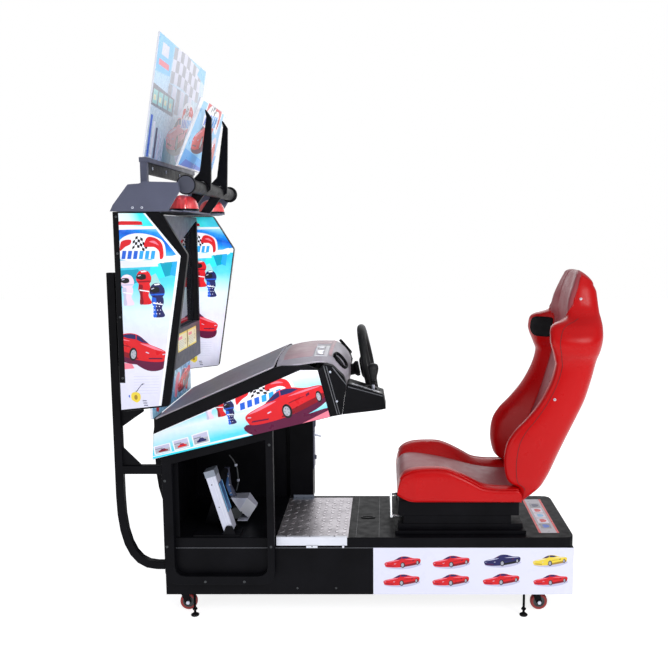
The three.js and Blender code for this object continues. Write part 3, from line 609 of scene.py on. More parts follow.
def side_seam(height):
    """The seam behind the bolster's rounded edge; it runs up to the shoulder's front."""
    return spline([500, 640, 760, 860, 1000, 1100, 1168], [8.3, 8.25, 8.0, 7.75, 7.75, 8.0, 8.6], height)


def mirrored(point, sign):
    return Vector((point.x, point.y * sign, point.z))


def whole_ring(right):
    """A closed loop from its right half, which runs from centre line to centre line."""
    return right + [mirrored(point, -1) for point in reversed(right[1:-1])]


def back_station(height):
    """The bolster front, centre front, centre rear and half width at any height."""
    return [spline(BACK_KEYS, [row[column] for row in BACKREST], height) for column in range(1, 5)]


def back_section(height):
    """Half of the backrest's outline at one height, from the front centre to the rear centre."""
    bolster, centre, rear, wide = back_station(height)
    swell = centre - bolster
    side = rear - bolster
    lean = min(1.0, max(0.0, (1190 - height) / 40))
    valley = centre + 3 * lean
    return [
        (0, centre), (0.26 * wide, centre + 0.5), (0.43 * wide, valley + lean),
        (0.475 * wide, valley + 3.5 * lean - 0.06 * swell), (0.53 * wide, valley - 1 - 0.22 * swell),
        (0.68 * wide, centre - 0.74 * swell - 4 * lean), (0.84 * wide, bolster - 1),
        (0.945 * wide, bolster + 3), (0.985 * wide, bolster + 0.12 * side + 6),
        (1.0 * wide, bolster + 0.32 * side + 4), (0.99 * wide, bolster + 0.58 * side),
        (0.93 * wide, bolster + 0.80 * side), (0.80 * wide, bolster + 0.93 * side),
        (0.60 * wide, rear - 3), (0.30 * wide, rear - 0.5), (0, rear),
    ]


def settle(point, middle_x, depth, height):
    """Lowers the rear of the headrest, so that its top slopes down backwards."""
    near_top = min(1.0, max(0.0, (height - 1235) / 90))
    rearward = (point.x - (middle_x - depth / 2)) / depth
    point.z -= HEAD_SLOPE * near_top ** 1.4 * max(0.0, rearward) ** 1.5
    return point


def seat_back_skin():
    """Rings of the backrest, bottom to top, with the top closed over as a dome."""
    rings = []
    low, high = BACK_KEYS[0], BACK_KEYS[-1]
    for row in range(BACK_ROWS + 1):
        height = low + (high - low) * row / BACK_ROWS
        half = spline_points(back_section(height), SECTION_STEPS)
        rings.append(whole_ring([Vector((x * MM, y * MM, height * MM)) for y, x in half]))
    last = rings[-1]
    depth = max(p.x for p in last) - min(p.x for p in last)
    middle = Vector((sum(p.x for p in last) / len(last), 0, high * MM))
    for step in range(1, CROWN_ROWS + 1):
        angle = step / (CROWN_ROWS + 1) * math.pi / 2
        shrink = math.cos(angle) ** 1.1
        lift = CROWN_HEIGHT * math.sin(angle)
        rings.append([
            Vector((middle.x + (p.x - middle.x) * shrink + 0.004 * math.sin(angle),
                    p.y * (0.50 + 0.50 * shrink) * (0.40 + 0.60 * shrink), middle.z + lift))
            for p in last
        ])
    for ring in rings:
        for point in ring:
            settle(point, middle.x, depth, point.z / MM)
    return rings


def add_seat_back():
    """The backrest's skin, with the softer insert as a second material."""
    bm = bmesh.new()
    loops = add_rings(bm, seat_back_skin())
    count = len(loops[0])
    place_in_ring = {vert: index for loop in loops for index, vert in enumerate(loop)}
    for face in bm.faces:
        if len(face.verts) != 4:
            continue
        steps = [min(place_in_ring[vert], count - place_in_ring[vert]) for vert in face.verts]
        height = face.calc_center_median().z / MM
        if max(steps) <= insert_edge(height) * SECTION_STEPS and height > INSERT_FOOT:
            face.material_index = 1
    piece = mesh_piece("seat_back_shell", bm, ["red_vinyl", "red_insert"], "seat", "red_vinyl",
                       ["seat_back"], angle=70)
    add_back_trim()


def back_surface(height, along):
    """A point on the backrest's right half, at a fractional control point of its section."""
    run = spline_points(back_section(height), SECTION_STEPS)
    at = along * SECTION_STEPS
    low = min(int(at), len(run) - 2)
    share = at - low
    (y0, x0), (y1, x1) = run[low], run[low + 1]
    point = Vector(((x0 + (x1 - x0) * share) * MM, (y0 + (y1 - y0) * share) * MM, height * MM))
    _, centre, rear, _ = back_station(BACK_KEYS[-1])
    return settle(point, (centre + rear) / 2 * MM, (rear - centre) * MM, height)


def back_normal(height, along):
    """The direction straight out of the backrest's right half at that point."""
    across = back_surface(height, along + 0.1) - back_surface(height, along - 0.1)
    upward = back_surface(height + 3, along) - back_surface(height - 3, along)
    return upward.cross(across).normalized()


def back_line(sign, along_of, low, high, lift, steps=90):
    """Points up the backrest, a little proud of it or sunk into it."""
    points = []
    for step in range(steps):
        height = low + (high - low) * step / (steps - 1)
        along = along_of(height)
        point = back_surface(height, along) + back_normal(height, along) * lift
        points.append(mirrored(point, sign))
    return points


def add_back_trim():
    """Piping at the insert's edge, side seams, harness inlays, caps and the badge behind."""
    bm = bmesh.new()
    for sign in (-1, 1):
        add_sweep(bm, back_line(sign, insert_edge, 545, 1322, 0.0004), 0.0021, 8)
        add_sweep(bm, back_line(sign, side_seam, 500, 1168, -0.0003, 70), 0.0013, 8, 1)
    mesh_piece("seat_back_piping", bm, ["red_vinyl", "seam_dark"], "seat", "red_vinyl", angle=80)

    bm = bmesh.new()
    for sign in (-1, 1):
        add_inlay(bm, sign)
        for height, along in SIDE_CAPS:
            point = mirrored(back_surface(height, along), sign)
            add_screw(bm, point, mirrored(back_normal(height, along), sign), 0.0055, 0.003, 2)
    mesh_piece("seat_harness_inlays", bm, ["plastic_black", "mesh_black", "white_trim_and_highlight"], "seat",
               "black_plastic")

    bm = bmesh.new()
    rear = back_surface(1000, 15)
    badge = [(0, -0.004), (0.050, -0.004), (0.050, 0.002), (0.047, 0.0035), (0.040, 0.0035),
             (0.038, 0.002), (0, 0.002)]
    add_lathe(bm, badge, rear, back_normal(1000, 14.8) * Vector((1, 0, 1)), 48)
    mesh_piece("seat_back_badge", bm, ["badge_yellow"], "seat", "printed_board")


def add_inlay(bm, sign):
    """A rounded square of black padding, let into the shoulder and following its surface."""
    middle, span, mid_height, half_high, sides = 4.55, 1.05, 1096, 41, 48

    def loop(size, lift):
        points = []
        for step in range(sides):
            angle = 2 * math.pi * step / sides
            c, s = math.cos(angle), math.sin(angle)
            u = math.copysign(abs(c) ** 0.55, c) * size
            v = math.copysign(abs(s) ** 0.55, s) * size
            height, along = mid_height + half_high * v, middle + span * u
            point = back_surface(height, along) + back_normal(height, along) * lift
            points.append(mirrored(point, sign))
        return points

    rings = [loop(1.05, -0.006), loop(1.05, 0.0008), loop(1.0, 0.0022), loop(0.95, 0.0020),
             loop(0.92, 0.0006), loop(0.75, 0.0009), loop(0.5, 0.0012), loop(0.25, 0.0013)]
    loops = add_rings(bm, rings, 0, False, [0, 0, 0, 1, 1, 1, 1])
    bm.faces.new(loops[-1]).material_index = 1
    bm.faces.new(loops[0]).material_index = 0


# Cushion stations in millimetres: x, centre height, bolster height.
CUSHION = [
    (138, 500, 503), (146, 534, 540), (160, 552, 564), (180, 560, 577), (210, 562, 586),
    (265, 556, 590), (325, 545, 587), (376, 532, 568), (427, 518, 541), (466, 508, 520),
    (520, 500, 511), (575, 496, 510), (606, 494, 508), (616, 478, 492),
]
CUSHION_KEYS = [row[0] for row in CUSHION]
CUSHION_HALF = 232
CUSHION_FLOOR = 456
# The insert's half width, as a share of the cushion's.
CUSHION_INSERT = 0.545
CUSHION_ROWS = 72
# Where the piping starts and ends, and the section points it follows with their radii.
PIPING_START, PIPING_END = 150, 606
PIPING_LINES = ((7, 0.0032), (3, 0.0020))
PIPING_STEPS = 60


def cushion_section(x):
    """Half of the cushion's outline at one station, from the top centre to the bottom centre."""
    centre = spline(CUSHION_KEYS, [row[1] for row in CUSHION], x)
    bolster = spline(CUSHION_KEYS, [row[2] for row in CUSHION], x)
    rise = bolster - centre
    wide = CUSHION_HALF
    nose = max(0.0, 1 - (x - 138) / 70)
    floor = CUSHION_FLOOR + 26 * nose * nose
    pinch = 1 - 0.05 * nose
    drop = centre - floor
    return [
        (0, centre), (0.30 * wide, centre - 0.5), (0.50 * wide, centre - 2), (0.56 * wide, centre - 5),
        (0.62 * wide, centre + 0.30 * rise - 1), (0.76 * wide, centre + 0.88 * rise + 3),
        (0.86 * wide * pinch, bolster + 1), (0.94 * wide * pinch, bolster - 4),
        (0.985 * wide * pinch, bolster - 0.16 * drop), (1.0 * wide * pinch, bolster - 0.5 * drop),
        (0.985 * wide * pinch, floor + 0.22 * drop), (0.95 * wide * pinch, floor + 0.04 * drop),
        (0.88 * wide, floor), (0.45 * wide, floor), (0, floor),
    ]


def add_seat_cushion():
    """The cushion's skin with its insert, and the piping along its bolsters."""
    rings = []
    for row in range(CUSHION_ROWS + 1):
        share = 0.5 - 0.5 * math.cos(math.pi * row / CUSHION_ROWS)
        x = CUSHION_KEYS[0] + (CUSHION_KEYS[-1] - CUSHION_KEYS[0]) * share
        half = spline_points(cushion_section(x), SECTION_STEPS)
        rings.append(whole_ring([Vector((x * MM, y * MM, z * MM)) for y, z in half]))
    bm = bmesh.new()
    add_rings(bm, rings)
    for face in bm.faces:
        centre = face.calc_center_median()
        top = spline(CUSHION_KEYS, [row[1] for row in CUSHION], centre.x / MM) - 12
        if abs(centre.y) < CUSHION_INSERT * CUSHION_HALF * MM and centre.z > top * MM:
            face.material_index = 1
    piece = mesh_piece("seat_cushion_pad", bm, ["red_vinyl", "red_insert"], "seat", "red_vinyl",
                       ["seat_cushion"], angle=70)

    bm = bmesh.new()
    for sign in (-1, 1):
        for index, radius in PIPING_LINES:
            points = []
            for step in range(PIPING_STEPS):
                x = PIPING_START + (PIPING_END - PIPING_START) * step / (PIPING_STEPS - 1)
                y, z = cushion_section(x)[index]
                points.append(Vector((x * MM, sign * y * MM, (z + 0.8) * MM)))
            add_sweep(bm, points, radius, 8)
    mesh_piece("seat_cushion_piping", bm, ["red_vinyl"], "seat", "red_vinyl", angle=80)


# ---- Steering wheel, column and gear lever --------------------------------------------------

# The wheel's measures in metres.
WHEEL_RADIUS = 0.157
GRIP_RADIUS = 0.0165
HUB_REACH = 0.030
# A spoke's section: share of its half width, and height in metres.
SPOKE_SECTION = ((1, 0.0), (0.9, 0.004), (0, 0.0052), (-0.9, 0.004), (-1, 0.0), (-0.9, -0.004),
                 (0, -0.0045), (0.9, -0.004))


def wheel_place():
    """The wheel's centre and axis, and what puts (across, up, along the axis) in the frame."""
    joint = joint_named("steering")
    centre = Vector(joint["pos_m"])
    axis = Vector(joint["axis"]).normalized()
    up = Vector((-axis.z, 0, axis.x))
    side = Vector((0, 1, 0))

    def at(u, v, w):
        return centre + side * u + up * v + axis * w

    return centre, axis, at


def add_rim(bm, at):
    """A ring that is thicker at the hands and flatter at its foot."""
    turns, sides = 120, 20
    rings = []
    for turn in range(turns):
        angle = 2 * math.pi * turn / turns
        grip = GRIP_RADIUS * (1 + 0.07 * max(0.0, math.cos(2 * angle)) ** 3)
        flat = 1 - 0.06 * max(0.0, -math.sin(angle)) ** 8
        rings.append([
            at(
                (WHEEL_RADIUS + grip * math.cos(a)) * math.cos(angle),
                (WHEEL_RADIUS + grip * math.cos(a)) * math.sin(angle) * flat,
                grip * math.sin(a),
            )
            for a in (2 * math.pi * s / sides for s in range(sides))
        ])
    rings.append(rings[0])
    add_rings(bm, rings, 0, False)
    bmesh.ops.remove_doubles(bm, verts=bm.verts, dist=WELD_DISTANCE)


def add_spokes(bm, at):
    """Three flat spokes that narrow towards their middle."""
    for degrees in (0, 180, 270):
        angle = math.radians(degrees)
        c, s = math.cos(angle), math.sin(angle)
        rings = []
        for step in range(9):
            share = step / 8
            reach = HUB_REACH + (WHEEL_RADIUS - 0.008 - HUB_REACH) * share
            half = 0.020 - 0.007 * math.sin(math.pi * share) + 0.004 * share
            depth = -0.016 + 0.012 * share
            section = []
            for a, b in SPOKE_SECTION:
                u = reach * c - half * a * s
                v = reach * s + half * a * c
                section.append(at(u, v, depth + b))
            rings.append(section)
        add_rings(bm, rings, 1)


def add_steering_wheel():
    """The rim, three spokes and hub that turn together."""
    centre, axis, at = wheel_place()
    bm = bmesh.new()
    add_rim(bm, at)
    add_spokes(bm, at)
    hub = [(0, -0.033), (0.034, -0.033), (0.043, -0.028), (0.046, -0.016), (0.044, -0.008),
           (0.036, -0.003), (0.030, -0.002), (0.028, -0.0035), (0.018, 0.0005), (0, 0.002)]
    add_lathe(bm, hub, centre, axis, 40, 1)
    for degrees in range(30, 390, 60):
        angle = math.radians(degrees)
        place = at(0.036 * math.cos(angle), 0.036 * math.sin(angle), -0.004)
        add_screw(bm, place, axis, 0.0032, 0.002, 2)
    mesh_piece("steering_wheel_rim", bm, ["rubber_black", "plastic_black", "zinc"], "steering_wheel",
               "grip_rubber", ["steering_wheel"], angle=50)


def add_steering_column():
    """The fixed tube behind the hub, with its collars and screws."""
    centre, axis, at = wheel_place()
    bm = bmesh.new()
    start = -0.034
    collar = [(0, start - 0.006), (0.030, start - 0.006), (0.031, start - 0.016), (0.027, start - 0.022),
              (0.0225, start - 0.026), (0.0225, start - 0.060), (0.029, start - 0.066),
              (0.029, start - 0.084), (0.0225, start - 0.09), (0.0225, start - 0.096), (0, start - 0.096)]
    add_lathe(bm, collar[::-1], centre, axis, 36)
    for degrees in range(45, 405, 90):
        angle = math.radians(degrees)
        place = at(0.0265 * math.cos(angle), 0.0265 * math.sin(angle), start - 0.0065)
        add_screw(bm, place, axis, 0.003, 0.0018, 1)
    mesh_piece("steering_column_tube", bm, ["plastic_black", "zinc"], "root", "black_steel",
               ["steering_column"])


def add_gear_lever():
    """The stick with its knob, its rubber folds and the pin it rocks on."""
    pivot = Vector(joint_named("gear_shift")["pos_m"])
    bm = bmesh.new()
    stick = [(0, 0), (0.006, 0), (0.006, 0.05), (0.0055, 0.088), (0, 0.088)]
    add_lathe(bm, stick, pivot, (0, 0, 1), 20, 1)
    knob = [(0, 0.074), (0.009, 0.074), (0.0125, 0.077), (0.0135, 0.083), (0.0150, 0.094),
            (0.0185, 0.108), (0.0198, 0.119), (0.0188, 0.129), (0.0150, 0.1355), (0.0085, 0.138),
            (0, 0.1385)]
    add_lathe(bm, knob, pivot, (0, 0, 1), 32, 0)
    folds = [(0, 0.060), (0.0118, 0.060), (0.0125, 0.0612), (0.0100, 0.0635), (0.0116, 0.0658),
             (0.0092, 0.0682), (0.0106, 0.0704), (0.0088, 0.0728), (0, 0.0738)]
    add_lathe(bm, folds, pivot, (0, 0, 1), 28, 0)
    pin = [(0, -0.022), (0.008, -0.022), (0.008, 0.022), (0, 0.022)]
    add_lathe(bm, pin, pivot, (0, 1, 0), 20, 1)
    mesh_piece("gear_lever_stick", bm, ["rubber_black", "zinc"], "gear_lever", "grip_rubber",
               ["gear_lever"], angle=50)


# ---- Round pieces of the topper, casters and feet --------------------------------------------


def add_topper_rounds():
    """The cross tube with its end caps, then the bar, a black sheet of painted shade under the shelf, and the
    lamps.
    """
    low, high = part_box("topper_tube")
    centre = (low + high) / 2
    half = (high.y - low.y) / 2
    bm = bmesh.new()
    tube = 0.025
    cap = (high.x - low.x) / 2
    profile = [(0, -half), (cap - 0.004, -half), (cap - 0.001, -half + 0.001), (cap, -half + 0.004),
               (cap, -half + 0.009), (cap - 0.002, -half + 0.0105), (tube + 0.0015, -half + 0.0115),
               (tube, -half + 0.013)]
    profile += [(r, -h) for r, h in reversed(profile)]
    add_lathe(bm, profile, centre, (0, 1, 0), 48)
    for end in (-1, 1):
        face = centre + Vector((0, end * half, 0))
        disc_profile = [(0, -0.0005), (cap - 0.004, -0.0005), (cap - 0.0045, 0.0005), (0, 0.0005)]
        add_lathe(bm, disc_profile, face, (0, end, 0), 48, 1)
    mesh_piece("topper_tube_round", bm, ["plastic_black", "disc_grey"], "root", "black_plastic",
               ["topper_tube"])
    add_topper_bar_and_shade_sheet()
    for side, _ in SIDES:
        add_dome(side)


def add_topper_bar_and_shade_sheet():
    """The header's black cross bar with its bolts, and a black sheet under the grey shelf that is painted shade.
    """
    low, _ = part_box("header_holder")
    bm = bmesh.new()
    bar_low = Vector((low.x + 0.005, -0.327, 1.6975))
    bar_high = Vector((low.x + 0.0265, 0.327, 1.7365))
    add_box(bm, bar_low, bar_high)
    for y in (-0.28, -0.10, 0.10, 0.28):
        add_screw(bm, (bar_high.x, y, 1.718), (1, 0, 0), 0.006, 0.003, 2)
    # Painted shade: a thin black sheet under the grey canopy shelf, for the shade that falls beneath it.
    low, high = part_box("canopy")
    shelf_front = -0.641
    add_box(bm, (low.x + 0.006, low.y + 0.026, low.z + 0.0006),
            (shelf_front, high.y - 0.026, low.z + 0.0022))
    mesh_piece("topper_bar_and_shade_sheet", bm, ["plastic_black", "mesh_black", "zinc"], "root", "black_steel")


def add_dome(side):
    """A ribbed red lens on a dark ring."""
    node = f"dome_lamp_{side}"
    low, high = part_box(node)
    centre = Vector(((low.x + high.x) / 2, (low.y + high.y) / 2, low.z))
    radius, height = (high.x - low.x) / 2, high.z - low.z
    bm = bmesh.new()
    rings = []
    sides, rows = 96, 22
    for row in range(rows + 1):
        angle = row / rows * math.pi / 2
        rib = 0.0006 * math.cos(angle)
        ring = []
        for step in range(sides):
            turn = 2 * math.pi * step / sides
            r = radius * 0.97 * math.cos(angle) ** 0.85 + rib * math.cos(24 * turn)
            z = 0.008 + (height - 0.0085) * math.sin(angle) ** 0.95
            r = max(r, 0.0003)
            ring.append(centre + Vector((r * math.cos(turn), r * math.sin(turn), z)))
        rings.append(ring)
    add_rings(bm, rings)
    mesh_piece(f"{node}_lens", bm, ["red_lens"], "root", "red_lens", [node], angle=60)
    bm = bmesh.new()
    base = [(0, 0.0003), (radius, 0.0003), (radius, 0.006), (radius - 0.0015, 0.0078), (0, 0.0079)]
    add_lathe(bm, base, centre, (0, 0, 1), 48)
    mesh_piece(f"{node}_base", bm, ["plastic_black"], "root", "black_plastic")


def add_running_gear():
    for end in ENDS:
        for side, _ in SIDES:
            add_caster(end, side)
            add_foot(end, side)


def add_caster(end, side):
    """A wheel with a red tread on a grey hub, its fork and its axle nuts."""
    node = f"caster_wheel_{end}_{side}"
    low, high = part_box(node)
    centre = (low + high) / 2
    radius, half = (high.z - low.z) / 2, (high.y - low.y) / 2
    hub = radius * 0.66
    bm = bmesh.new()
    profile = [
        (0.0055, -half * 0.95), (0.011, -half * 0.95), (0.012, -half * 0.6), (hub * 0.82, -half * 0.6),
        (hub * 0.88, -half * 0.9), (hub, -half * 0.9), (hub + 0.001, -half), (radius - 0.004, -half),
        (radius - 0.001, -half * 0.72), (radius, -half * 0.35),
    ]
    profile += [(r, -h) for r, h in reversed(profile)]
    profile.append(profile[0])
    colours = [1] * 5 + [0] * 9 + [1] * 6
    add_hollow_lathe(bm, profile, centre, (0, 1, 0), 40, colours)
    bmesh.ops.remove_doubles(bm, verts=bm.verts, dist=WELD_DISTANCE)
    mesh_piece(f"{node}_tread", bm, ["red_tread", "hub_grey"], node, "red_tread", [node])
    refined(f"caster_fork_{end}_{side}", "powder_black", 0.0008)
    bm = bmesh.new()
    nut = [(0, -0.0005), (0.008, -0.0005), (0.008, 0.004), (0.0072, 0.005), (0, 0.005)]
    for sign in (-1, 1):
        place = centre + Vector((0, sign * (half + 0.006), 0))
        add_lathe(bm, nut, place, (0, sign, 0), 6)
    mesh_piece(f"caster_nuts_{end}_{side}", bm, ["zinc"], f"caster_fork_{end}_{side}", "zinc_steel")


def add_foot(end, side):
    """A rubber pad with a threaded stem and its lock nut."""
    node = f"levelling_foot_{end}_{side}"
    low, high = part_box(node)
    centre = Vector(((low.x + high.x) / 2, (low.y + high.y) / 2, 0))
    radius = (high.x - low.x) / 2
    bm = bmesh.new()
    pad = [(0, 0), (radius - 0.001, 0), (radius, 0.0015), (radius, 0.005), (radius * 0.7, 0.0085),
           (radius * 0.45, 0.010), (0, 0.010)]
    add_lathe(bm, pad, centre, (0, 0, 1), 32, 0)
    thread = []
    pitch, root, crest = 0.0016, 0.0043, 0.005
    turns = int((high.z - 0.010) / pitch)
    for index in range(turns):
        base = 0.0095 + index * pitch
        thread += [(root, base), (crest, base + pitch / 2)]
    add_lathe(bm, [(0, 0.0095)] + thread + [(root, high.z), (0, high.z)], centre, (0, 0, 1), 16, 1)
    nut = [(0, 0.024), (0.0093, 0.024), (0.010, 0.0246), (0.010, 0.0296), (0.0093, 0.0302), (0, 0.0302)]
    add_lathe(bm, nut, centre, (0, 0, 1), 6, 1)
    mesh_piece(f"{node}_pad", bm, ["rubber_black", "edge_black"], "root", "zinc_steel", [node])


def make_red_lens():
    """A plastic that lets some light into the dome lamps."""
    material, tree, shader = blank_material("red_lens")
    shader.inputs["Base Color"].default_value = (0.88, 0.075, 0.085, 1)
    glow = object_noise(tree, 30, 3)
    tree.links.new(spread(tree, glow.outputs["Fac"], 0.10, 0.2), shader.inputs["Roughness"])
    set_inputs(shader, {
        "Transmission Weight": 0.25,
        "Subsurface Weight": 0.2,
        "Subsurface Radius": (0.02, 0.004, 0.004),
        "Coat Weight": 0.4,
    })
    MATERIALS["red_lens"] = material


# ---- Printed artwork -----------------------------------------------------------------------
# Art is a list of (ink, polygon) layers, bottom first, in flat millimetres. It is plain
# generic racing art: cars of no make, checkers, helmets and stripes, and no lettering.


def inside(point, polygon):
    """Whether a flat point is inside a polygon, by counting the edges to one side of it."""
    x, y = point
    found = False
    before = polygon[-1]
    for here in polygon:
        if (here[1] > y) != (before[1] > y):
            cross = (before[0] - here[0]) * (y - here[1]) / (before[1] - here[1]) + here[0]
            if x < cross:
                found = not found
        before = here
    return found


def printed(name, outline, art, place, thickness=0.5):
    """A thin skin, cut to an outline, whose face is divided along the shapes printed on it."""
    layers = []
    for ink, polygon in art:
        us, vs = [p[0] for p in polygon], [p[1] for p in polygon]
        layers.append((ink, polygon, min(us), max(us), min(vs), max(vs)))
    points, edges = [], []
    for polygon in [outline] + [layer[1] for layer in layers]:
        start, count = len(points), len(polygon)
        points += [Vector(point) for point in polygon]
        edges += [(start + step, start + (step + 1) % count) for step in range(count)]
    flat, _, triangles, *_ = delaunay_2d_cdt(points, edges, [], 0, 0.01)
    inks = list(dict.fromkeys(layer[0] for layer in layers))
    bm = bmesh.new()
    verts = {}
    for triangle in triangles:
        u = sum(flat[index].x for index in triangle) / 3
        v = sum(flat[index].y for index in triangle) / 3
        if not inside((u, v), outline):
            continue
        ink = next(
            (ink for ink, polygon, u0, u1, v0, v1 in reversed(layers)
             if u0 <= u <= u1 and v0 <= v <= v1 and inside((u, v), polygon)), inks[0],
        )
        for index in triangle:
            if index not in verts:
                verts[index] = bm.verts.new(place(flat[index].x, flat[index].y, thickness))
        face = bm.faces.new([verts[index] for index in triangle])
        face.material_index = inks.index(ink)
    flat_of = {vert: flat[index] for index, vert in verts.items()}
    rim = [edge for edge in bm.edges if edge.is_boundary]
    made = bmesh.ops.extrude_edge_only(bm, edges=rim)["geom"]
    low = {}
    for edge in rim:
        for vert in edge.verts:
            low[vert] = place(flat_of[vert].x, flat_of[vert].y, 0)
    for vert in (item for item in made if isinstance(item, bmesh.types.BMVert)):
        above = next(
            edge.other_vert(vert) for edge in vert.link_edges if edge.other_vert(vert) in low
        )
        vert.co = low[above]
    open_edges = [edge for edge in bm.edges if edge.is_boundary]
    bmesh.ops.holes_fill(bm, edges=open_edges, sides=0)
    mesh_piece(name, bm, inks, "root", "printed_board", angle=20)


def curve(points, per_span=5):
    """A smooth closed outline through its points."""
    closed = list(points[-2:]) + list(points) + list(points[:2])
    smooth_run = spline_points(closed, per_span)
    return smooth_run[2 * per_span:-2 * per_span][:len(points) * per_span]


def disc(u, v, across, high=None, sides=20):
    high = high or across
    return [
        (u + across * math.cos(2 * math.pi * step / sides), v + high * math.sin(2 * math.pi * step / sides))
        for step in range(sides)
    ]


def rectangle(u0, v0, u1, v1):
    return [(u0, v0), (u1, v0), (u1, v1), (u0, v1)]


def moved(art, u, v, scale=1.0, flip=1, tilt=0.0, high=1.0):
    """Art in unit size, scaled, flipped, turned and set down at a place."""
    c, s = math.cos(tilt), math.sin(tilt)
    result = []
    for ink, polygon in art:
        shape = []
        for a, b in polygon:
            x, y = flip * a * scale, b * scale * high
            shape.append((u + x * c - y * s, v + x * s + y * c))
        result.append((ink, shape))
    return result


CAR_BODY = [
    (0.000, 0.095), (0.010, 0.132), (0.060, 0.160), (0.160, 0.188), (0.270, 0.215), (0.325, 0.245),
    (0.395, 0.292), (0.465, 0.322), (0.560, 0.330), (0.650, 0.318), (0.730, 0.293), (0.810, 0.276),
    (0.900, 0.274), (0.970, 0.262), (1.000, 0.224), (0.995, 0.165), (0.970, 0.120), (0.880, 0.088),
    (0.700, 0.045), (0.500, 0.012), (0.300, 0.000), (0.120, 0.006), (0.025, 0.032),
]
CAR_SCREEN = [
    (0.280, 0.224), (0.330, 0.252), (0.392, 0.290), (0.472, 0.316), (0.468, 0.258), (0.385, 0.230),
]
CAR_WINDOW = [
    (0.482, 0.260), (0.486, 0.317), (0.560, 0.322), (0.640, 0.308), (0.700, 0.284), (0.600, 0.264),
]
CAR_BONNET = [
    (0.040, 0.142), (0.150, 0.178), (0.270, 0.206), (0.410, 0.216), (0.300, 0.184), (0.150, 0.152),
]
CAR_SHOULDER = [
    (0.560, 0.232), (0.700, 0.254), (0.860, 0.262), (0.960, 0.254), (0.860, 0.244), (0.700, 0.234),
]
CAR_SILL = [
    (0.420, 0.018), (0.480, 0.060), (0.600, 0.086), (0.800, 0.130), (0.870, 0.146), (0.960, 0.176),
    (0.985, 0.150), (0.970, 0.115), (0.880, 0.085), (0.700, 0.045), (0.500, 0.012),
]
CAR_GRILLE = [(0.055, 0.046), (0.260, 0.030), (0.275, 0.046), (0.070, 0.062)]
CAR_STREAK = [(0.540, 0.150), (0.700, 0.176), (0.760, 0.190), (0.700, 0.186), (0.560, 0.164)]
CAR_SHADOW = [
    (0.020, 0.030), (0.150, -0.030), (0.500, -0.052), (0.800, -0.005), (0.990, 0.070), (1.010, 0.120),
    (0.880, 0.110), (0.600, 0.060), (0.300, 0.040),
]
# Middle, half width and half height of the front and the rear wheel.
CAR_WHEELS = ((0.505, 0.072, 0.060, 0.084), (0.915, 0.142, 0.036, 0.068))


def car(paint, shade, light, shadow="ink_plum"):
    """A low two-seater of no make, seen from the front corner, one unit long, nose at zero."""
    art = [
        (shadow, curve(CAR_SHADOW)),
        (paint, curve(CAR_BODY, 3)),
        (shade, curve(CAR_SILL, 3)),
        (light, curve(CAR_BONNET, 4)),
        (light, curve(CAR_SHOULDER, 4)),
        ("ink_navy", CAR_SCREEN),
        ("ink_navy", CAR_WINDOW),
        ("ink_plum", CAR_GRILLE),
        ("ink_plum", [(0.300, 0.232), (0.352, 0.262), (0.420, 0.292), (0.372, 0.250)]),
        (shade, curve(CAR_STREAK, 3)),
        ("ink_plum", [(0.765, 0.176), (0.815, 0.194), (0.815, 0.222), (0.772, 0.206)]),
        ("ink_lavender", [(0.024, 0.106), (0.064, 0.098), (0.070, 0.108), (0.032, 0.118)]),
        ("ink_lavender", [(0.272, 0.096), (0.322, 0.108), (0.314, 0.120), (0.268, 0.108)]),
    ]
    for u, v, across, high in CAR_WHEELS:
        hub = u - 0.004
        art.append(("ink_black", disc(u, v, across, high)))
        art.append(("ink_silver", disc(hub, v, across * 0.66, high * 0.68)))
        for spoke in range(5):
            turn = 2 * math.pi * (spoke + 0.5) / 5
            cu, cv = hub + across * 0.40 * math.cos(turn), v + high * 0.42 * math.sin(turn)
            art.append(("ink_grey", disc(cu, cv, across * 0.13, high * 0.14, 8)))
    return art


RED_CAR = ("ink_red", "ink_dark_red", "ink_rose")
NAVY_CAR = ("ink_navy", "ink_black", "ink_lavender")
YELLOW_CAR = ("ink_yellow", "ink_dark_yellow", "ink_cream")


def checker(corner, columns, rows, size, lean=0.0, wave=0.0, inks=("ink_black", "ink_white")):
    """A checkered flag, leaning and waving, with its lower left corner at a point."""
    wide, high = size

    def at(column, row):
        u = column / columns * wide
        v = row / rows * high
        return (corner[0] + u + lean * v, corner[1] + v + wave * math.sin(math.pi * 1.6 * column / columns))

    art = []
    for column in range(columns):
        for row in range(rows):
            art.append((inks[(column + row) % 2], [
                at(column, row), at(column + 1, row), at(column + 1, row + 1), at(column, row + 1),
            ]))
    return art


def flourish(u, v, scale, tilt=0.0, high=1.0):
    """A checkered flag running into a red streamer over blue bars."""
    art = [("ink_white", curve([
        (-0.02, 0.02), (0.0, 0.42), (0.30, 0.60), (0.72, 0.58), (1.04, 0.40), (1.06, -0.02),
        (0.92, -0.06), (0.70, 0.02), (0.30, -0.04),
    ]))]
    art += checker((0.30, 0.24), 6, 4, (0.34, 0.26), 0.12, 0.05)
    art += [
        ("ink_red", curve([
            (0.02, 0.20), (0.04, 0.40), (0.14, 0.46), (0.28, 0.46), (0.26, 0.36), (0.14, 0.30),
        ])),
        ("ink_red", curve([
            (0.58, 0.30), (0.66, 0.52), (0.86, 0.50), (1.00, 0.36), (1.02, 0.08), (0.94, 0.02),
            (0.92, 0.20), (0.80, 0.30),
        ])),
        ("ink_rose", curve([(0.70, 0.42), (0.82, 0.44), (0.92, 0.34), (0.82, 0.38)])),
    ]
    for index in range(6):
        left = 0.04 + index * 0.135
        ink = "ink_blue" if index < 3 else "ink_azure"
        art.append((ink, [(left, 0.02), (left + 0.09, 0.02), (left + 0.125, 0.21), (left + 0.035, 0.21)]))
    return moved(art, u, v, scale, tilt=tilt, high=high)


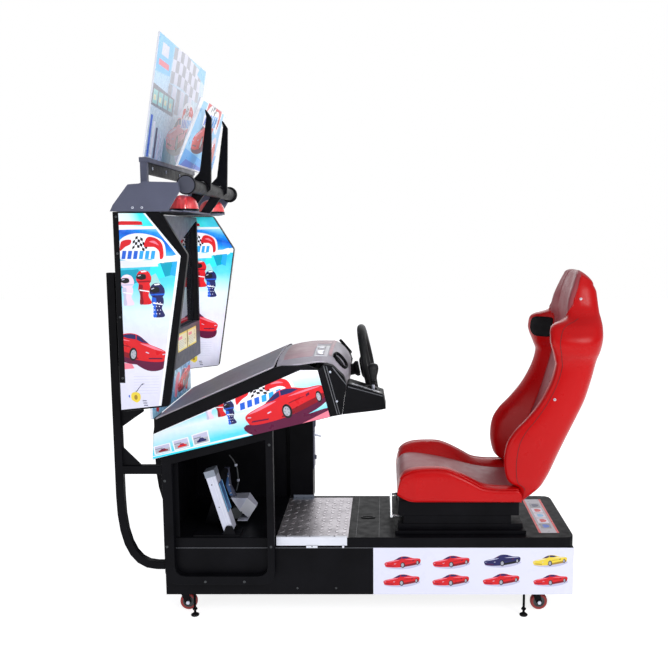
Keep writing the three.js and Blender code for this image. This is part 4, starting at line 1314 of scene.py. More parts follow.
HELMET = [
    (0.00, 0.30), (0.02, 0.62), (0.20, 0.90), (0.50, 1.00), (0.80, 0.90), (0.98, 0.62), (1.00, 0.34),
    (0.88, 0.10), (0.60, 0.00), (0.30, 0.02), (0.10, 0.12),
]
HELMET_VISOR = [
    (0.02, 0.42), (0.05, 0.66), (0.30, 0.74), (0.60, 0.70), (0.66, 0.52), (0.60, 0.40), (0.30, 0.34),
]
RIBBON = [
    (0.15, 0.10), (0.80, 0.14), (0.92, -0.30), (0.78, -0.70), (0.98, -1.20), (0.60, -1.32), (0.22, -1.24),
    (0.34, -0.72), (0.10, -0.30),
]


def helmets(u, v, scale, tilt=0.0):
    """Three plain driving helmets over waving cloth in place of the figures."""
    art = []
    for left, foot, size, ink, edge in (
        (0.02, 0.66, 0.27, "ink_pink", "ink_lavender"), (0.34, 0.72, 0.30, "ink_red", "ink_dark_red"),
        (0.60, 0.46, 0.30, "ink_navy", "ink_blue"),
    ):
        art += moved([
            (ink, curve(RIBBON, 4)),
            (edge, curve([(a * 0.35 + 0.1, b) for a, b in RIBBON], 3)),
            ("ink_white", [(0.18, -0.30), (0.84, -0.40), (0.84, -0.48), (0.18, -0.38)]),
            (ink, curve(HELMET, 4)),
            (edge, [(0.04, 0.26), (0.98, 0.30), (0.97, 0.20), (0.08, 0.16)]),
            ("ink_black", curve(HELMET_VISOR, 4)),
            ("ink_lavender", [(0.10, 0.62), (0.30, 0.68), (0.30, 0.62), (0.12, 0.56)]),
            ("ink_white", [(0.30, 0.93), (0.62, 0.97), (0.72, 0.88), (0.36, 0.84)]),
        ], left, foot, size)
    for column in range(3):
        for row in range(4):
            place = (0.665 + column * 0.06 + 0.02 * (row % 2), 0.14 + row * 0.075)
            art.append(("ink_white", disc(*place, 0.011, sides=6)))
    return moved(art, u, v, scale, tilt=tilt)


def tile(corners, paint):
    """A small framed picture: sky, road and a little car."""
    a, b, c, d = [Vector(corner) for corner in corners]

    def at(s, t):
        point = a * (1 - s) * (1 - t) + b * s * (1 - t) + c * s * t + d * (1 - s) * t
        return (point.x, point.y)

    def box(s0, t0, s1, t1):
        return [at(s0, t0), at(s1, t0), at(s1, t1), at(s0, t1)]

    little_car = (
        (0.26, 0.20), (0.24, 0.34), (0.36, 0.40), (0.44, 0.54), (0.62, 0.54), (0.70, 0.40), (0.82, 0.34),
        (0.80, 0.20),
    )
    return [
        ("ink_white", box(0, 0, 1, 1)),
        ("ink_lavender", box(0.07, 0.50, 0.93, 0.90)),
        ("ink_silver", box(0.07, 0.10, 0.93, 0.50)),
        ("ink_grey", box(0.07, 0.56, 0.52, 0.66)),
        (paint, [at(s, t) for s, t in little_car]),
        ("ink_navy", [at(s, t) for s, t in ((0.42, 0.41), (0.47, 0.50), (0.60, 0.50), (0.64, 0.41))]),
    ]


WING_OUTLINE = [
    (-838, 872), (-697, 887), (-612, 1411), (-728, 1557), (-820, 1557), (-820, 968), (-838, 968),
]
# The unprinted strip along the outer print's front edge.
WING_MARGIN = [
    (-697, 887), (-612, 1411), (-728, 1557), (-735, 1557), (-621, 1409), (-706, 886),
]
WING_INNER_OUTLINE = [
    (-838, 873), (-826, 869), (-672, 887), (-591, 1415), (-680, 1558), (-838, 1558),
]


def wing_art(outline):
    """Sky bands, a flourish, helmets and a car, with small marks at the foot."""
    art = [
        ("ink_white", outline),
        ("wing_low", [(-840, 860), (-667, 882), (-586, 1398), (-640, 1404), (-840, 1400)]),
        ("wing_sky", [(-840, 1404), (-640, 1412), (-590, 1422), (-640, 1505), (-840, 1500)]),
        ("wing_top", [(-840, 1512), (-640, 1514), (-670, 1560), (-840, 1560)]),
        ("ink_red", curve([
            (-822, 1517), (-822, 1529), (-780, 1530), (-744, 1529), (-741, 1523), (-744, 1517),
        ], 3)),
        ("ink_white", curve([
            (-700, 1392), (-660, 1404), (-612, 1420), (-606, 1398), (-640, 1384), (-690, 1380),
        ], 4)),
        ("ink_teal", [(-684, 1388), (-620, 1394), (-626, 1352), (-668, 1340)]),
        ("ink_cyan", [(-718, 1372), (-684, 1388), (-668, 1340), (-720, 1326)]),
        ("ink_azure", [(-640, 1392), (-621, 1392), (-628, 1340), (-650, 1348)]),
        ("ink_teal", [(-820, 1362), (-760, 1366), (-738, 1330), (-820, 1300)]),
        ("ink_mint", [(-738, 1330), (-700, 1352), (-676, 1300), (-730, 1290)]),
        ("ink_panel", [(-820, 1370), (-690, 1376), (-694, 1398), (-820, 1396)]),
    ]
    art += flourish(-822, 1398, 148)
    art += helmets(-826, 1188, 172)
    art += [
        ("ink_plum", curve([
            (-790, 1046), (-740, 1012), (-690, 1016), (-676, 1046), (-700, 1066), (-760, 1066),
        ], 4)),
        ("ink_rose", [(-826, 1040), (-794, 1036), (-786, 1020), (-826, 1016)]),
    ]
    art += moved(car(*RED_CAR), -674, 1038, 232, flip=-1, tilt=-0.10, high=1.22)
    for row in range(7):
        z = 930 + row * 10
        art.append(("ink_lavender", [(-790, z), (-706 + row, z + 2), (-706 + row, z + 3), (-790, z + 1)]))
    art += [
        ("ink_yellow", curve([
            (-800, 908), (-800, 930), (-784, 936), (-770, 928), (-770, 908), (-784, 898),
        ], 3)),
        ("ink_dark_yellow", disc(-785, 917, 6, 9, 12)),
        ("ink_navy", [(-788, 938), (-784, 938), (-762, 966), (-752, 966), (-764, 960), (-782, 936)]),
        ("ink_blue", [(-806, 914), (-812, 922), (-806, 926)]),
    ]
    for row in range(3):
        left, top = -762 + 2 * row, 906 - 8 * row
        art.append(("ink_navy", rectangle(left, top - 3, left + 14, top)))
    return art


def on_side(y, out):
    """Lays art on a wall across Y: X along, Z up, and proud of it to the side given."""
    return lambda u, v, w: Vector((u * MM, y + out * w * MM, v * MM))


def on_front(x):
    """Lays art on a wall that faces the driver: Y along, Z up."""
    return lambda u, v, w: Vector((x + w * MM, u * MM, v * MM))


def add_wing_prints():
    for side, sign in SIDES:
        node = f"wing_{side}"
        outer = wing_art(WING_OUTLINE) + [("ink_white", WING_MARGIN)]
        printed(f"wing_print_{side}_outer", WING_OUTLINE, outer,
                on_side(side_face(node, sign), sign), thickness=0.4)
        printed(f"wing_print_{side}_inner", WING_INNER_OUTLINE, wing_art(WING_INNER_OUTLINE),
                on_side(side_face(node, -sign), -sign), thickness=0.4)


DASH_OUTLINE = [(-776, 652), (-770, 748), (-222, 989), (-158, 989), (-114, 814)]


def dash_art():
    """A car coming out of a pale sky, with three small framed pictures behind it."""
    art = [
        ("ink_white", DASH_OUTLINE),
        ("dash_sky", [(-782, 662), (-774, 744), (-222, 984), (-160, 984), (-108, 826)]),
        ("ink_cyan", [(-782, 652), (-782, 659), (-400, 746), (-400, 738)]),
    ]
    for corners, paint in (
        ([(-768, 668), (-704, 682), (-710, 716), (-772, 700)], "ink_dark_red"),
        ([(-694, 684), (-634, 700), (-642, 738), (-702, 722)], "ink_red"),
        ([(-622, 702), (-560, 718), (-568, 764), (-630, 744)], "ink_navy"),
    ):
        art += tile(corners, paint)
    art += flourish(-452, 832, 212, 0.36, 0.62)
    art += helmets(-572, 762, 130, 0.16)
    art += [
        ("ink_plum", curve([
            (-424, 782), (-400, 744), (-300, 752), (-180, 792), (-112, 818), (-112, 850), (-240, 812),
        ], 4)),
        ("ink_rose", [(-262, 766), (-170, 812), (-112, 842), (-104, 818)]),
    ]
    art += moved(car(*RED_CAR), -418, 772, 312, tilt=0.26, high=1.05)
    return art


def add_side_prints(name, node, outline, art):
    """The same print on a node's left and right faces."""
    for side, sign in SIDES:
        printed(f"{name}_{side}", outline, art, on_side(side_face(node, sign), sign), thickness=0.5)


# The base's cars: left end, height, length and paint.
BASE_CARS = [
    (88, 204, 140, RED_CAR), (275, 206, 142, RED_CAR), (473, 211, 141, NAVY_CAR),
    (662, 212, 132, YELLOW_CAR), (84, 131, 140, RED_CAR), (274, 131, 142, RED_CAR),
    (470, 134, 141, RED_CAR), (666, 133, 132, RED_CAR),
]


def base_outline():
    """The printed part of the base's side, behind the tread plate."""
    low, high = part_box("base_skirt")
    deck_low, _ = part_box("deck")
    return rectangle(45, low.z / MM + 0.5, high.x / MM - 0.5, deck_low.z / MM - 0.5)


def base_art(outline):
    """Eight small cars in two rows."""
    art = [("ink_panel", outline)]
    for u, v, length, paint in BASE_CARS:
        art += moved(car(*paint, shadow="ink_lavender"), u, v, length, high=0.98)
    return art


def header_art(half, tall):
    """A wall with a checkered banner, shelves and a parked car."""

    def across(share):
        return -half + 2 * half * share

    def block(ink, left, bottom, right, top):
        return ink, rectangle(across(left), bottom, across(right), top)

    art = [
        ("header_sky", rectangle(-half, 0, half, tall)),
        ("ink_sky", [
            (-half, tall - 130), (-half, tall), (across(0.27), tall), (across(0.25), tall - 120),
        ]),
        block("ink_panel", 0.07, tall - 66, 0.19, tall - 24),
        block("ink_rose", 0.04, tall - 104, 0.22, tall - 84),
    ]
    banner = (2 * half * 0.62, 132)
    art += checker((across(0.27), tall - 140), 9, 3, banner, 0.08, 8, ("ink_silver", "ink_panel"))
    art.append(("ink_sky", [
        (across(0.80), tall - 40), (across(1), tall - 60), (across(1), tall), (across(0.86), tall),
    ]))
    for index in range(6):
        left = 0.25 + index * 0.085
        art.append(("ink_panel" if index % 2 else "ink_silver", [
            (across(left), tall - 240), (across(left + 0.07), tall - 236),
            (across(left + 0.08), tall - 142), (across(left + 0.005), tall - 142),
        ]))
    art.append(("ink_grey", [
        (-half, tall - 246), (-half, tall - 172), (across(0.40), tall - 186), (across(0.40), tall - 252),
    ]))
    for index in range(4):
        left = 0.015 + index * 0.095
        art.append(block("ink_mint", left, tall - 238, left + 0.075, tall - 190))
        art.append(block("ink_cream", left + 0.012, tall - 226, left + 0.05, tall - 208))
    for index, ink in enumerate(("ink_blue", "ink_panel", "ink_navy", "ink_lavender")):
        left = 0.02 + index * 0.055
        art.append(block(ink, left, 4, left + 0.035, 150 - 18 * index))
    art.append(("ink_teal", [(across(0.30), 0), (across(0.30), 90), (across(0.52), 40), (across(0.62), 0)]))
    rose_car = car("ink_rose", "ink_dark_red", "ink_pink", "ink_grey")
    art += moved(rose_car, across(0.34), 52, 300, tilt=0.05, high=1.3)
    art += flourish(across(0.60), 150, 170, 0.1)
    return art


def add_topper_prints():
    """Art on both faces of the two leaning boards."""
    for node, art_of in (("header_board", header_art), ("topper_sign", sign_art)):
        foot, head, bottom_half, top_half = board_corners(node)
        up = (head - foot).normalized()
        normal = Vector((up.z, 0, -up.x))
        depth = max((foot - point).dot(normal) for point in board_points(node))
        tall = (head - foot).length / MM
        outline = [(-bottom_half, 2), (bottom_half, 2), (top_half, tall - 2), (-top_half, tall - 2)]
        art = art_of(bottom_half, tall)
        for face, out in (("front", 1), ("rear", -1)):
            start = foot if out > 0 else foot - normal * depth

            def place(u, v, w, start=start, out=out):
                return start + Vector((0, u * MM, 0)) + up * v * MM + normal * out * w * MM

            printed(f"{node}_print_{face}", outline, art, place, thickness=0.4)


def board_points(node):
    """The corner points of a CAD node."""
    return [vert.co.copy() for vert in frame["nodes"][node].data.vertices]


def board_corners(node):
    """The front face's lower and upper centre points, and its half widths, in metres and mm."""
    points = board_points(node)
    low, high = min(p.z for p in points), max(p.z for p in points)
    middle = (low + high) / 2
    lower = [p for p in points if p.z < middle]
    upper = [p for p in points if p.z >= middle]
    foot = max(lower, key=lambda p: p.x)
    head = max(upper, key=lambda p: p.x)
    bottom_half = max(abs(p.y) for p in lower) / MM - 2
    top_half = max(abs(p.y) for p in upper) / MM - 2
    return Vector((foot.x, 0, foot.z)), Vector((head.x, 0, head.z)), bottom_half, top_half


def sign_art(half, tall):
    """A car below a flourish, between two curved flashes."""
    edge = half - 8
    art = [
        ("ink_white", rectangle(-half, 0, half, tall)),
        ("ink_sky", [(-edge, 6), (edge, 6), (half * 0.66, tall - 6), (-half * 0.66, tall - 6)]),
        ("ink_azure", [(-edge, 6), (-half * 0.86, 70), (half * 0.1, 50), (edge, 90), (edge, 6)]),
        ("ink_blue", [(-half + 30, 6), (-half * 0.7, 34), (half * 0.2, 20), (half * 0.5, 6)]),
    ]
    art += moved(car(*RED_CAR), -half * 0.62, 70, half * 0.95, tilt=0.12, high=1.3)
    art += flourish(-half * 0.36, tall - 92, half * 0.86, 0.05)
    for ink, points in (
        ("ink_pink", ((0.4, 60), (0.5, 150), (0.7, 140), (0.72, 60))),
        ("ink_red", ((0.52, 40), (0.60, 130), (0.76, 110), (0.80, 40))),
    ):
        art.append((ink, curve([(half * share, v) for share, v in points])))
    return art


# One brush stroke of the neck print: distance from its left, and from the panel's foot or head.
NECK_STROKE = [(0, 20, 0), (30, 90, 0), (70, -20, 1), (96, -34, 1), (60, 60, 0), (30, 10, 0)]


def add_neck_print():
    """Brush strokes and a car on the panel below the screen."""
    low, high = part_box("neck_panel")
    u0, u1, v0, v1 = low.y / MM + 1, high.y / MM - 1, low.z / MM + 1, high.z / MM - 1
    outline = rectangle(u0, v0, u1, v1)
    art = [("neck_sky", outline)]
    wide = u1 - u0
    for index, ink in enumerate(("ink_red", "ink_white", "ink_azure", "ink_rose", "ink_sky", "ink_red")):
        left = u0 + wide * (0.08 + 0.15 * index)
        stroke = [(left + u, (v1 if from_head else v0) + v) for u, v, from_head in NECK_STROKE]
        art.append((ink, curve(stroke, 3)))
    art += moved(car(*RED_CAR), u0 + wide * 0.62, v0 + 26, 200, tilt=0.1, high=1.1)
    printed("neck_print", outline, art, on_front(high.x), thickness=0.4)


def add_deck_decal():
    """A framed strip of five picture tiles behind the seat."""
    _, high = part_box("deck")
    x0, x1, half = 693, 772, 196
    outline = rectangle(-half, x0, half, x1)
    art = [("ink_red", outline), ("ink_silver", rectangle(-half, x0 + 9, half, x1 - 9))]
    for index, paint in enumerate(("ink_blue", "ink_red", "ink_sky", "ink_red", "ink_navy")):
        u = -150 + index * 60
        back = "ink_grey" if index in (0, 4) else "ink_panel"
        blot = [
            (u + 10, x0 + 30), (u + 14, x1 - 30), (u + 30, x1 - 24), (u + 44, x1 - 34), (u + 40, x0 + 28),
        ]
        art.append((back, rectangle(u, x0 + 18, u + 52, x1 - 18)))
        art.append((paint, curve(blot, 3)))

    def place(u, v, w):
        return Vector((v * MM, u * MM, high.z + w * MM))

    printed("deck_decal", outline, art, place, thickness=0.3)


def add_cards():
    """Two plain instruction cards, with no words, on the lower bezel."""
    _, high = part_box("screen_bezel")
    for index, left in enumerate((22, 186)):
        outline = rectangle(left, 1004, left + 150, 1078)
        art = [
            ("ink_yellow", outline),
            ("ink_cream", rectangle(left + 6, 1010, left + 144, 1072)),
            ("ink_rose", rectangle(left + 12, 1052, left + 70, 1064)),
        ]
        for row in range(5):
            foot = 1016 + row * 7
            art.append(("ink_silver", rectangle(left + 12, foot, left + 96 + 6 * (row % 3), foot + 2)))
        art.append(("ink_dark_yellow", disc(left + 122, 1036, 12, 12, 16)))
        art.append(("ink_cream", disc(left + 122, 1036, 8, 8, 16)))
        printed(f"instruction_card_{index + 1}", outline, art, on_front(high.x), thickness=0.4)


def add_prints():
    add_wing_prints()
    add_side_prints("dash_print", "dash_body", DASH_OUTLINE, dash_art())
    outline = base_outline()
    add_side_prints("base_print", "base_skirt", outline, base_art(outline))
    add_topper_prints()
    add_neck_print()
    add_deck_decal()
    add_cards()


# ---- Plain sheet and board pieces -------------------------------------------------------------

# The CAD nodes whose shape is kept as it is, by finish.
NODES_BY_FINISH = {
    "powder_black": [
        "base_frame", "base_skirt", "deck", "pedestal_shell", "coin_box", "seat_base", "seat_carriage",
        "pedal_bracket", "monitor_housing", "rear_cover", "side_frame_left",
        "side_frame_right", "upright_left", "upright_right", "topper_fin_left", "topper_fin_right",
    ],
    "plastic_black": ["dash_body", "shifter_console", "lcd_monitor"],
    "edge_black": ["wing_left", "wing_right"],
    "powder_grey": ["canopy", "header_holder", "coin_door"],
    "bezel_grey": ["screen_bezel"],
    "mesh_black": ["speaker_board"],
    "zinc": ["coin_return"],
    "pedal_silver": ["brake_pedal"],
    "screen": ["screen_glass"],
    "button_white": ["start_button", "view_button"],
    "chrome": ["seat_lever"],
    "moulded_grey": ["dash_cover", "dash_hood"],
    "white_trim_and_highlight": ["topper_sign", "header_board", "neck_panel"],
}
# The width of a node's rounded edges, in metres, and of those that are rounded more.
PLAIN_ROUNDING = 0.0012
ROUNDED_MORE = {
    "wing_left": 0.003, "wing_right": 0.003, "shifter_console": 0.004, "dash_body": 0.003,
    "seat_carriage": 0.003, "side_frame_left": 0.003, "side_frame_right": 0.003,
    "upright_left": 0.004, "upright_right": 0.004, "deck": 0.003,
}


def add_plain_pieces():
    for material, nodes in NODES_BY_FINISH.items():
        for node in nodes:
            refined(node, material, ROUNDED_MORE.get(node, PLAIN_ROUNDING))


# ---- Pedals, tread plate and small fittings --------------------------------------------------


def millimetres(*values):
    return Vector(values) * MM


def joint_turn(name, lean=0.0):
    """A frame at a joint, in millimetres, leaning forward by an angle."""
    place = Matrix.Translation(joint_named(name)["pos_m"])
    return place @ Matrix.Rotation(-lean, 4, "Y") @ Matrix.Scale(MM, 4)


# How far the brake pedal's channel leans forward, in radians.
BRAKE_LEAN = 0.29


def add_brake_fittings():
    """The channel's cap, side ribs, screw holes and blue tread strip."""
    turn = joint_turn("brake", BRAKE_LEAN)
    bm = bmesh.new()
    add_box(bm, (-25.5, -29, 217), (15.5, 29, 243), 0, turn)
    for left, right in ((-3.5, -1.5), (7, 9)):
        add_box(bm, (left, -29, -6), (right, -28, 216), 1, turn)
    add_box(bm, (14, -25, 66), (17.5, 25, 184), 2, turn)
    for side in (-25, 23):
        add_box(bm, (14, side, 66), (18.5, side + 2, 184), 4, turn)
    for height in (187, 94, -1):
        place = turn @ Vector((-11, -28, height))
        add_lathe(bm, [(0, -0.001), (0.0024, -0.001), (0.0024, 0.0005), (0, 0.0005)], place,
                  (0, -1, 0), 14, 3)
    piece = mesh_piece("brake_pedal_fittings", bm,
                       ["slate", "white_trim_and_highlight", "pedal_blue", "mesh_black", "ink_sky"],
                       "brake_pedal", "zinc_steel")
    bevel(piece, 0.0008)


# The foot block's outline seen from the driver's left, in millimetres from the throttle's pivot,
# and how far each corner stands out to that side.
FOOT_BLOCK = [(18, -108, 22), (86, -105, 35), (117, -150, 2), (85, -200, 0), (53, -156, 35)]


def add_throttle():
    """The hanging throttle: an arm with a blue strip, a turned foot block, a drum and a lip. Two facets of the
    foot block are in the pale trim as painted highlight.
    """
    turn = joint_turn("throttle")
    bm = bmesh.new()
    near = [turn @ Vector((x, -side, z)) for x, z, side in FOOT_BLOCK]
    far = [turn @ Vector((x, 35, z)) for x, z, _ in FOOT_BLOCK]
    count = len(FOOT_BLOCK)
    faces = [(0, 1, 4), (1, 2, 4), (2, 3, 4), tuple(range(count, 2 * count))]
    faces += [(i, (i + 1) % count, count + (i + 1) % count, count + i) for i in range(count)]
    made = add_faces(bm, near + far, faces)
    # Painted highlight: the two near facets of the block that touch its rear corner get the pale trim, for the
    # face that catches the light.
    for face in made[2].link_faces:
        if made[4] in face.verts:
            face.material_index = 4
    arm = [(-9, 11), (9, 11), (15, -60), (40, -114), (18, -114), (-7, -60)]
    strip = [(x * 0.55 + 1, z * 0.86 - 4) for x, z in arm]
    for half, outline, material in ((9, arm, 1), (9.8, strip, 2)):
        sides = [[turn @ Vector((x, y, z)) for x, z in outline] for y in (-half, half)]
        add_rings(bm, sides, material)
    for height in (-22, -58, -92):
        place = turn @ Vector((3 + abs(height) * 0.14, -9.8, height))
        add_screw(bm, place, (0, -1, 0), 0.0035, 0.002, 3)
    drum = [(0, 0), (0.021, 0), (0.0235, 0.002), (0.0235, 0.054), (0.021, 0.056), (0, 0.056)]
    add_lathe(bm, drum, turn @ Vector((40, -29, -170)), (0, 1, 0), 32, 5)
    add_box(bm, (44, -30, -202), (84, 30, -198), 0, turn)
    piece = mesh_piece("throttle_pedal_fine", bm,
                       ["pedal_silver", "powder_grey", "pedal_blue", "zinc", "white_trim_and_highlight", "hub_grey"],
                       "throttle_pedal", "zinc_steel", ["throttle_pedal"])
    bevel(piece, 0.0012)


def add_pedal_cable():
    """The throttle's bent return rod, fixed behind its arm."""
    start = Vector(joint_named("throttle")["pos_m"])
    bm = bmesh.new()
    bends = [(4, 36, 52), (18, 36, 34), (32, 36, 4), (37, 36, -30), (38, 36, -60), (30, 34, -96)]
    run = [start + millimetres(*point) for point in spline_points(bends)]
    add_sweep(bm, run, 0.0028, 10)
    clamp = [(0, 0), (0.005, 0), (0.0057, 0.0003), (0.006, 0.001), (0.006, 0.009),
             (0.0057, 0.0097), (0.005, 0.010), (0, 0.010)]
    for point in ((30, 36, 6), (38, 36, -58)):
        add_lathe(bm, clamp, start + millimetres(*point), (0, 0, 1), 6, 1)
    mesh_piece("throttle_return_rod", bm, ["hub_grey", "zinc"], "root", "black_steel", angle=50)


# The tread plate's thickness, and the spacing, half length and half width of its bars, in metres.
SHEET = 0.003
TREAD_PITCH = 0.0305
BAR_HALF = 0.0125
BAR_WIDE = 0.0034


def tread_bar(bm, centre, slant):
    """One raised, lens-shaped bar of the tread plate."""
    along = Vector((math.cos(slant), math.sin(slant), 0)) * BAR_HALF
    across = Vector((-math.sin(slant), math.cos(slant), 0)) * BAR_WIDE
    outline = [
        along, along * 0.5 + across, across * 1.25, along * -0.5 + across,
        -along, along * -0.5 - across, across * -1.25, along * 0.5 - across,
    ]
    foot = [centre + point + Vector((0, 0, -0.0002)) for point in outline]
    top = [centre + point * 0.72 + Vector((0, 0, 0.0011)) for point in outline]
    add_rings(bm, [foot, top], 1)


def add_tread_plate():
    """The tread plate with its raised bars."""
    low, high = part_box("footwell_plate")
    bm = bmesh.new()
    add_box(bm, (low.x, low.y + SHEET, high.z - SHEET), (high.x, high.y, high.z))
    columns, rows = int((high.x - low.x) / TREAD_PITCH), int((high.y - low.y - 0.008) / TREAD_PITCH)
    for column in range(columns):
        for row in range(rows):
            centre = Vector((low.x + TREAD_PITCH * (column + 0.5) + 0.001,
                             low.y + 0.012 + TREAD_PITCH * (row + 0.4), high.z))
            tread_bar(bm, centre, math.pi / 4 if (column + row) % 2 else -math.pi / 4)
    mesh_piece("footwell_tread", bm, ["aluminium", "tread_crest"], "root", "tread_plate",
               ["footwell_plate"], angle=25)


def add_edge_strip():
    """The plate's pale edge strip on the driver's left, with its screws and tabs."""
    low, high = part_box("footwell_plate")
    bm = bmesh.new()
    add_box(bm, (low.x, low.y, low.z), (high.x - 0.004, low.y + SHEET, high.z + 0.0006))
    add_box(bm, (low.x, low.y, high.z), (high.x - 0.004, low.y + 0.013, high.z + 0.0009))
    for x in (-0.290, -0.200, -0.105):
        add_screw(bm, (x, low.y + 0.008, high.z + 0.0009), (0, 0, 1), 0.0035, 0.0015, 1)
    for left, right in ((-0.213, -0.170), (-0.075, -0.067)):
        add_box(bm, (left, low.y, low.z - 0.010), (right, low.y + 0.002, low.z + 0.002))
    add_screw(bm, (-0.191, low.y, low.z - 0.004), (0, -1, 0), 0.0025, 0.0012, 1)
    strip = mesh_piece("footwell_edge_strip", bm, ["white_trim_and_highlight", "grey_trim_and_highlight"], "root", "tread_plate")
    bevel(strip, 0.0006)


def add_footwell_angle():
    """The short steel angle at the plate's far edge."""
    _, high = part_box("footwell_plate")
    bm = bmesh.new()
    add_box(bm, (-0.312, high.y - 0.022, high.z), (-0.222, high.y, high.z + 0.003))
    add_box(bm, (-0.312, high.y - 0.004, high.z), (-0.222, high.y, high.z + 0.014))
    for x in (-0.300, -0.267, -0.234):
        add_screw(bm, (x, high.y - 0.013, high.z + 0.003), (0, 0, 1), 0.003, 0.0015, 1)
    bevel(mesh_piece("footwell_angle", bm, ["slate", "grey_trim_and_highlight"], "root", "tread_plate"), 0.0006)


def hood_tree():
    """What a ray is cast at to find the hood's height."""
    bm = bmesh.new()
    bm.from_mesh(frame["nodes"]["dash_hood"].data)
    tree = BVHTree.FromBMesh(bm)
    bm.free()
    return tree


HOOD_TREE = hood_tree()


def hood_height(x, y):
    """The height in metres of the hood's top surface over a point."""
    return HOOD_TREE.ray_cast(Vector((x, y, 3)), Vector((0, 0, -1)))[0].z


def add_skin_patch(bm, low, high, lift, columns, rows, round_to=4.0):
    """A thin patch with rounded corners that lies on the curved hood."""
    centre_x, centre_y = (low[0] + high[0]) / 2, (low[1] + high[1]) / 2
    half_x, half_y = (high[0] - low[0]) / 2, (high[1] - low[1]) / 2
    grid = []
    for row in range(rows + 1):
        line = []
        for column in range(columns + 1):
            u, v = 2 * column / columns - 1, 2 * row / rows - 1
            u2 = u * (1 - abs(v) ** round_to * 0.06)
            v2 = v * (1 - abs(u) ** round_to * 0.03)
            x, y = (centre_x + half_x * u2) * MM, (centre_y + half_y * v2) * MM
            line.append(bm.verts.new((x, y, hood_height(x, y) + lift * MM)))
        grid.append(line)
    top = []
    for row in range(rows):
        for column in range(columns):
            top.append(bm.faces.new([grid[row][column], grid[row][column + 1],
                                     grid[row + 1][column + 1], grid[row + 1][column]]))
    made = bmesh.ops.extrude_face_region(bm, geom=top)["geom"]
    for vert in (item for item in made if isinstance(item, bmesh.types.BMVert)):
        vert.co.z -= (lift + 0.4) * MM


SPEAKER_PLACE = (-0.0790, 0.185, 1.0065)
SPEAKER_FACING = (0.74, 0.16, 0.62)
# How far the faded panel and the button plate stand above the hood, in millimetres.
PANEL_LIFT = 0.7
PLATE_LIFT = 2.2
# The bars of the raised button plate's frame: their low and high corners.
PLATE_BARS = [
    ((-178, -214), (-128, -206)), ((-178, -64), (-128, -56)), ((-178, -214), (-171.5, -56)),
    ((-141, -214), (-128, -56)), ((-171.5, -140), (-141, -130)),
]


def add_hood_fittings():
    """The faded red panel, the raised button plate with its ring, and the speaker grilles."""
    bm = bmesh.new()
    add_skin_patch(bm, (-296, -222), (-181, 222), PANEL_LIFT, 10, 24)
    add_skin_patch(bm, (-124, -205), (-112, 205), PANEL_LIFT, 2, 24)
    add_skin_patch(bm, (-181, 16), (-124, 222), PANEL_LIFT, 6, 14)
    mesh_piece("hood_panel", bm, ["faded_red"], "root", "printed_board", angle=30)
    bm = bmesh.new()
    for low, high in PLATE_BARS:
        add_skin_patch(bm, low, high, PLATE_LIFT, 6, 10, 30)
    mesh_piece("hood_button_plate", bm, ["key_grey"], "root", "button_white", angle=30)
    bm = bmesh.new()
    for sign in (-1, 1):
        centre = mirrored(Vector(SPEAKER_PLACE), sign)
        direction = mirrored(Vector(SPEAKER_FACING), sign)
        ring = [(0.031, -0.004), (0.031, 0.004), (0.033, 0.0065), (0.037, 0.0065), (0.038, 0.004),
                (0.038, -0.004)]
        add_hollow_lathe(bm, ring + ring[:1], centre, direction, 40)
        disc_points = [(0, -0.010), (0.031, -0.008), (0.0315, -0.012), (0, -0.014)]
        add_lathe(bm, disc_points, centre, direction, 40, 1)
    bmesh.ops.remove_doubles(bm, verts=bm.verts, dist=WELD_DISTANCE)
    mesh_piece("speaker_bezels", bm, ["plastic_black", "mesh_black"], "root", "black_plastic")


# The ends of the ribs on a cheek.
CHEEK_RIBS = (((-136, 1006), (-86, 822)), ((-104, 1000), (-52, 934)), ((-126, 1004), (-78, 824)))


def add_cheek_trims():
    """Raised ribs and screws on the dashboard's cheeks."""
    bm = bmesh.new()
    for _, sign in SIDES:
        y = side_face("dash_body", sign)
        for rib in CHEEK_RIBS:
            run = [Vector((x * MM, y - sign * 0.0004, z * MM)) for x, z in rib]
            add_sweep(bm, run, 0.0019, 8)
        for x, z in ((-112, 982), (-88, 872)):
            add_screw(bm, (x * MM, y, z * MM), (0, sign, 0), 0.0045, 0.002, 1)
    mesh_piece("cheek_trims", bm, ["grey_trim_and_highlight", "zinc"], "root", "black_plastic", angle=50)


# The console's sloping top from front to rear, in metres, and where the lever's ring lies on it:
# X in millimetres, Y in metres.
CONSOLE_TOP = ((-0.044, 0, 0.938), (0.084, 0, 0.898))
LEVER_X = 46
LEVER_Y = -0.245


def add_console_trims():
    """The shifter console's ridge, its checkered decal and the rubber ring round the lever."""
    y = side_face("shifter_console", -1) - 0.0003
    bm = bmesh.new()
    add_sweep(bm, [Vector((x * MM, y, z * MM)) for x, z in ((-46, 927), (82, 892))], 0.0017, 8)
    mesh_piece("console_ridge", bm, ["grey_trim_and_highlight"], "root", "black_plastic", angle=50)

    start, end = Vector(CONSOLE_TOP[0]), Vector(CONSOLE_TOP[1])
    along = (end - start).normalized()
    normal = Vector((-along.z, 0, along.x))
    length = (end - start).length / MM
    outline = rectangle(6, -292, length - 8, -262)
    art = [("ink_black", outline)]
    art += checker((12, -288), 13, 3, (length - 28, 22), inks=("ink_white", "ink_black"))

    def place(u, v, w):
        return start + along * u * MM + Vector((0, v * MM, 0)) + normal * w * MM

    printed("console_decal", outline, art, place, thickness=0.4)
    bm = bmesh.new()
    centre = start + along * (LEVER_X - start.x / MM) * MM + Vector((0, LEVER_Y, 0))
    profile = [(0.0195, -0.001), (0.0275, -0.001), (0.0275, 0.0015), (0.0260, 0.0025),
               (0.0210, 0.0025), (0.0195, 0.0015), (0.0195, -0.001)]
    add_hollow_lathe(bm, profile, centre, normal, 36)
    bmesh.ops.remove_doubles(bm, verts=bm.verts, dist=WELD_DISTANCE)
    mesh_piece("gear_lever_ring", bm, ["rubber_black"], "root", "grip_rubber", angle=60)


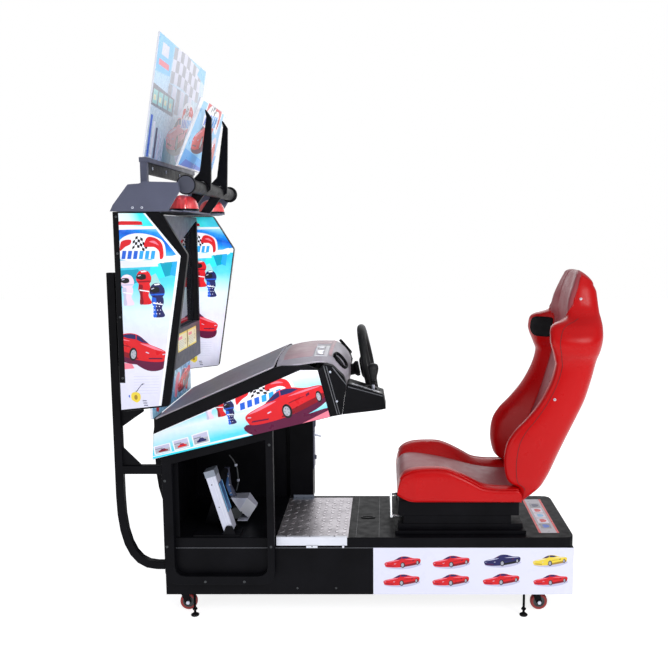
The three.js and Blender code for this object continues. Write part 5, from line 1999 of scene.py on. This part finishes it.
def add_seams_and_lip_highlights():
    """Thin folded seams of the base and deck, and the deck's rubber finger grip. The strips along the deck's lower
    edges lie on the join there, and their pale grey is painted highlight for that edge catching the light.
    """
    low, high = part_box("deck")
    bm = bmesh.new()
    # Painted highlight: a pale grey strip along each lower edge of the deck, where that edge catches the light.
    for y in (low.y, high.y):
        out = -1 if y < 0 else 1
        edge = sorted((y - out * 0.001, y + out * 0.0008))
        add_box(bm, (low.x + 0.002, edge[0], low.z - 0.0012), (0.044, edge[1], low.z + 0.0012))
    for x in (-0.022, 0.067):
        add_box(bm, (x - 0.0006, low.y + 0.006, high.z - 0.0005),
                (x + 0.0006, high.y - 0.006, high.z + 0.0004))
    grip = Vector((0.020, -0.028, high.z))
    add_rings(bm, [
        [grip + Vector((a * 0.030 * size, b * 0.012 * size, lift)) for a, b in disc(0, 0, 1, 1, 28)]
        for size, lift in ((1.0, -0.0004), (1.0, 0.0022), (0.92, 0.003), (0.74, 0.003), (0.70, 0.0006))
    ], 1)
    mesh_piece("base_seams_and_lip_highlights", bm, ["grey_trim_and_highlight", "rubber_black"], "root", "black_steel", angle=50)


def add_bezel_strips():
    """The screen frame's black side strips."""
    low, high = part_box("screen_bezel")
    window = 0.395
    bm = bmesh.new()
    for side in (-1, 1):
        edges = sorted((side * (window - 0.0008), side * (high.y - 0.0005)))
        add_box(bm, (low.x + 0.0005, edges[0], 1.0958), (high.x + 0.0008, edges[1], 1.5375))
    mesh_piece("bezel_strips", bm, ["plastic_black"], "root", "bezel_plastic")


# Screws on each side: node, material, radius, height, and their places in X and Z.
SIDE_SCREWS = [
    ("wing_{}", 2, 0.004, 0.0015, ((-0.829, 0.985), (-0.829, 1.20), (-0.829, 1.42), (-0.829, 1.545))),
    ("canopy", 0, 0.0045, 0.002, ((-0.771, 1.576), (-0.739, 1.576))),
    ("side_frame_{}", 2, 0.005, 0.002, (
        (-0.742, 0.30), (-0.742, 0.56), (-0.345, 0.30), (-0.345, 0.70), (-0.60, 0.160), (-0.45, 0.160),
    )),
    ("base_skirt", 2, 0.004, 0.002, ((-0.25, 0.120), (-0.10, 0.120))),
]


def add_screws():
    """Screw heads on the wings, canopy, side frames and base."""
    bm = bmesh.new()
    for side, sign in SIDES:
        for node, material, radius, height, places in SIDE_SCREWS:
            y = side_face(node.format(side), sign)
            for x, z in places:
                add_screw(bm, (x, y, z), (0, sign, 0), radius, height, material)
    mesh_piece("screws", bm, ["zinc", "mesh_black", "hub_grey"], "root", "zinc_steel", angle=50)


def add_fittings():
    add_brake_fittings()
    add_throttle()
    add_pedal_cable()
    add_tread_plate()
    add_edge_strip()
    add_footwell_angle()
    add_hood_fittings()
    add_cheek_trims()
    add_console_trims()
    add_seams_and_lip_highlights()
    add_bezel_strips()
    add_screws()


add_camera()
make_materials()
make_graded_prints()
make_red_lens()
add_studio()
add_plain_pieces()
add_seat_back()
add_seat_cushion()
add_steering_wheel()
add_steering_column()
add_gear_lever()
add_topper_rounds()
add_running_gear()
add_prints()
add_fittings()
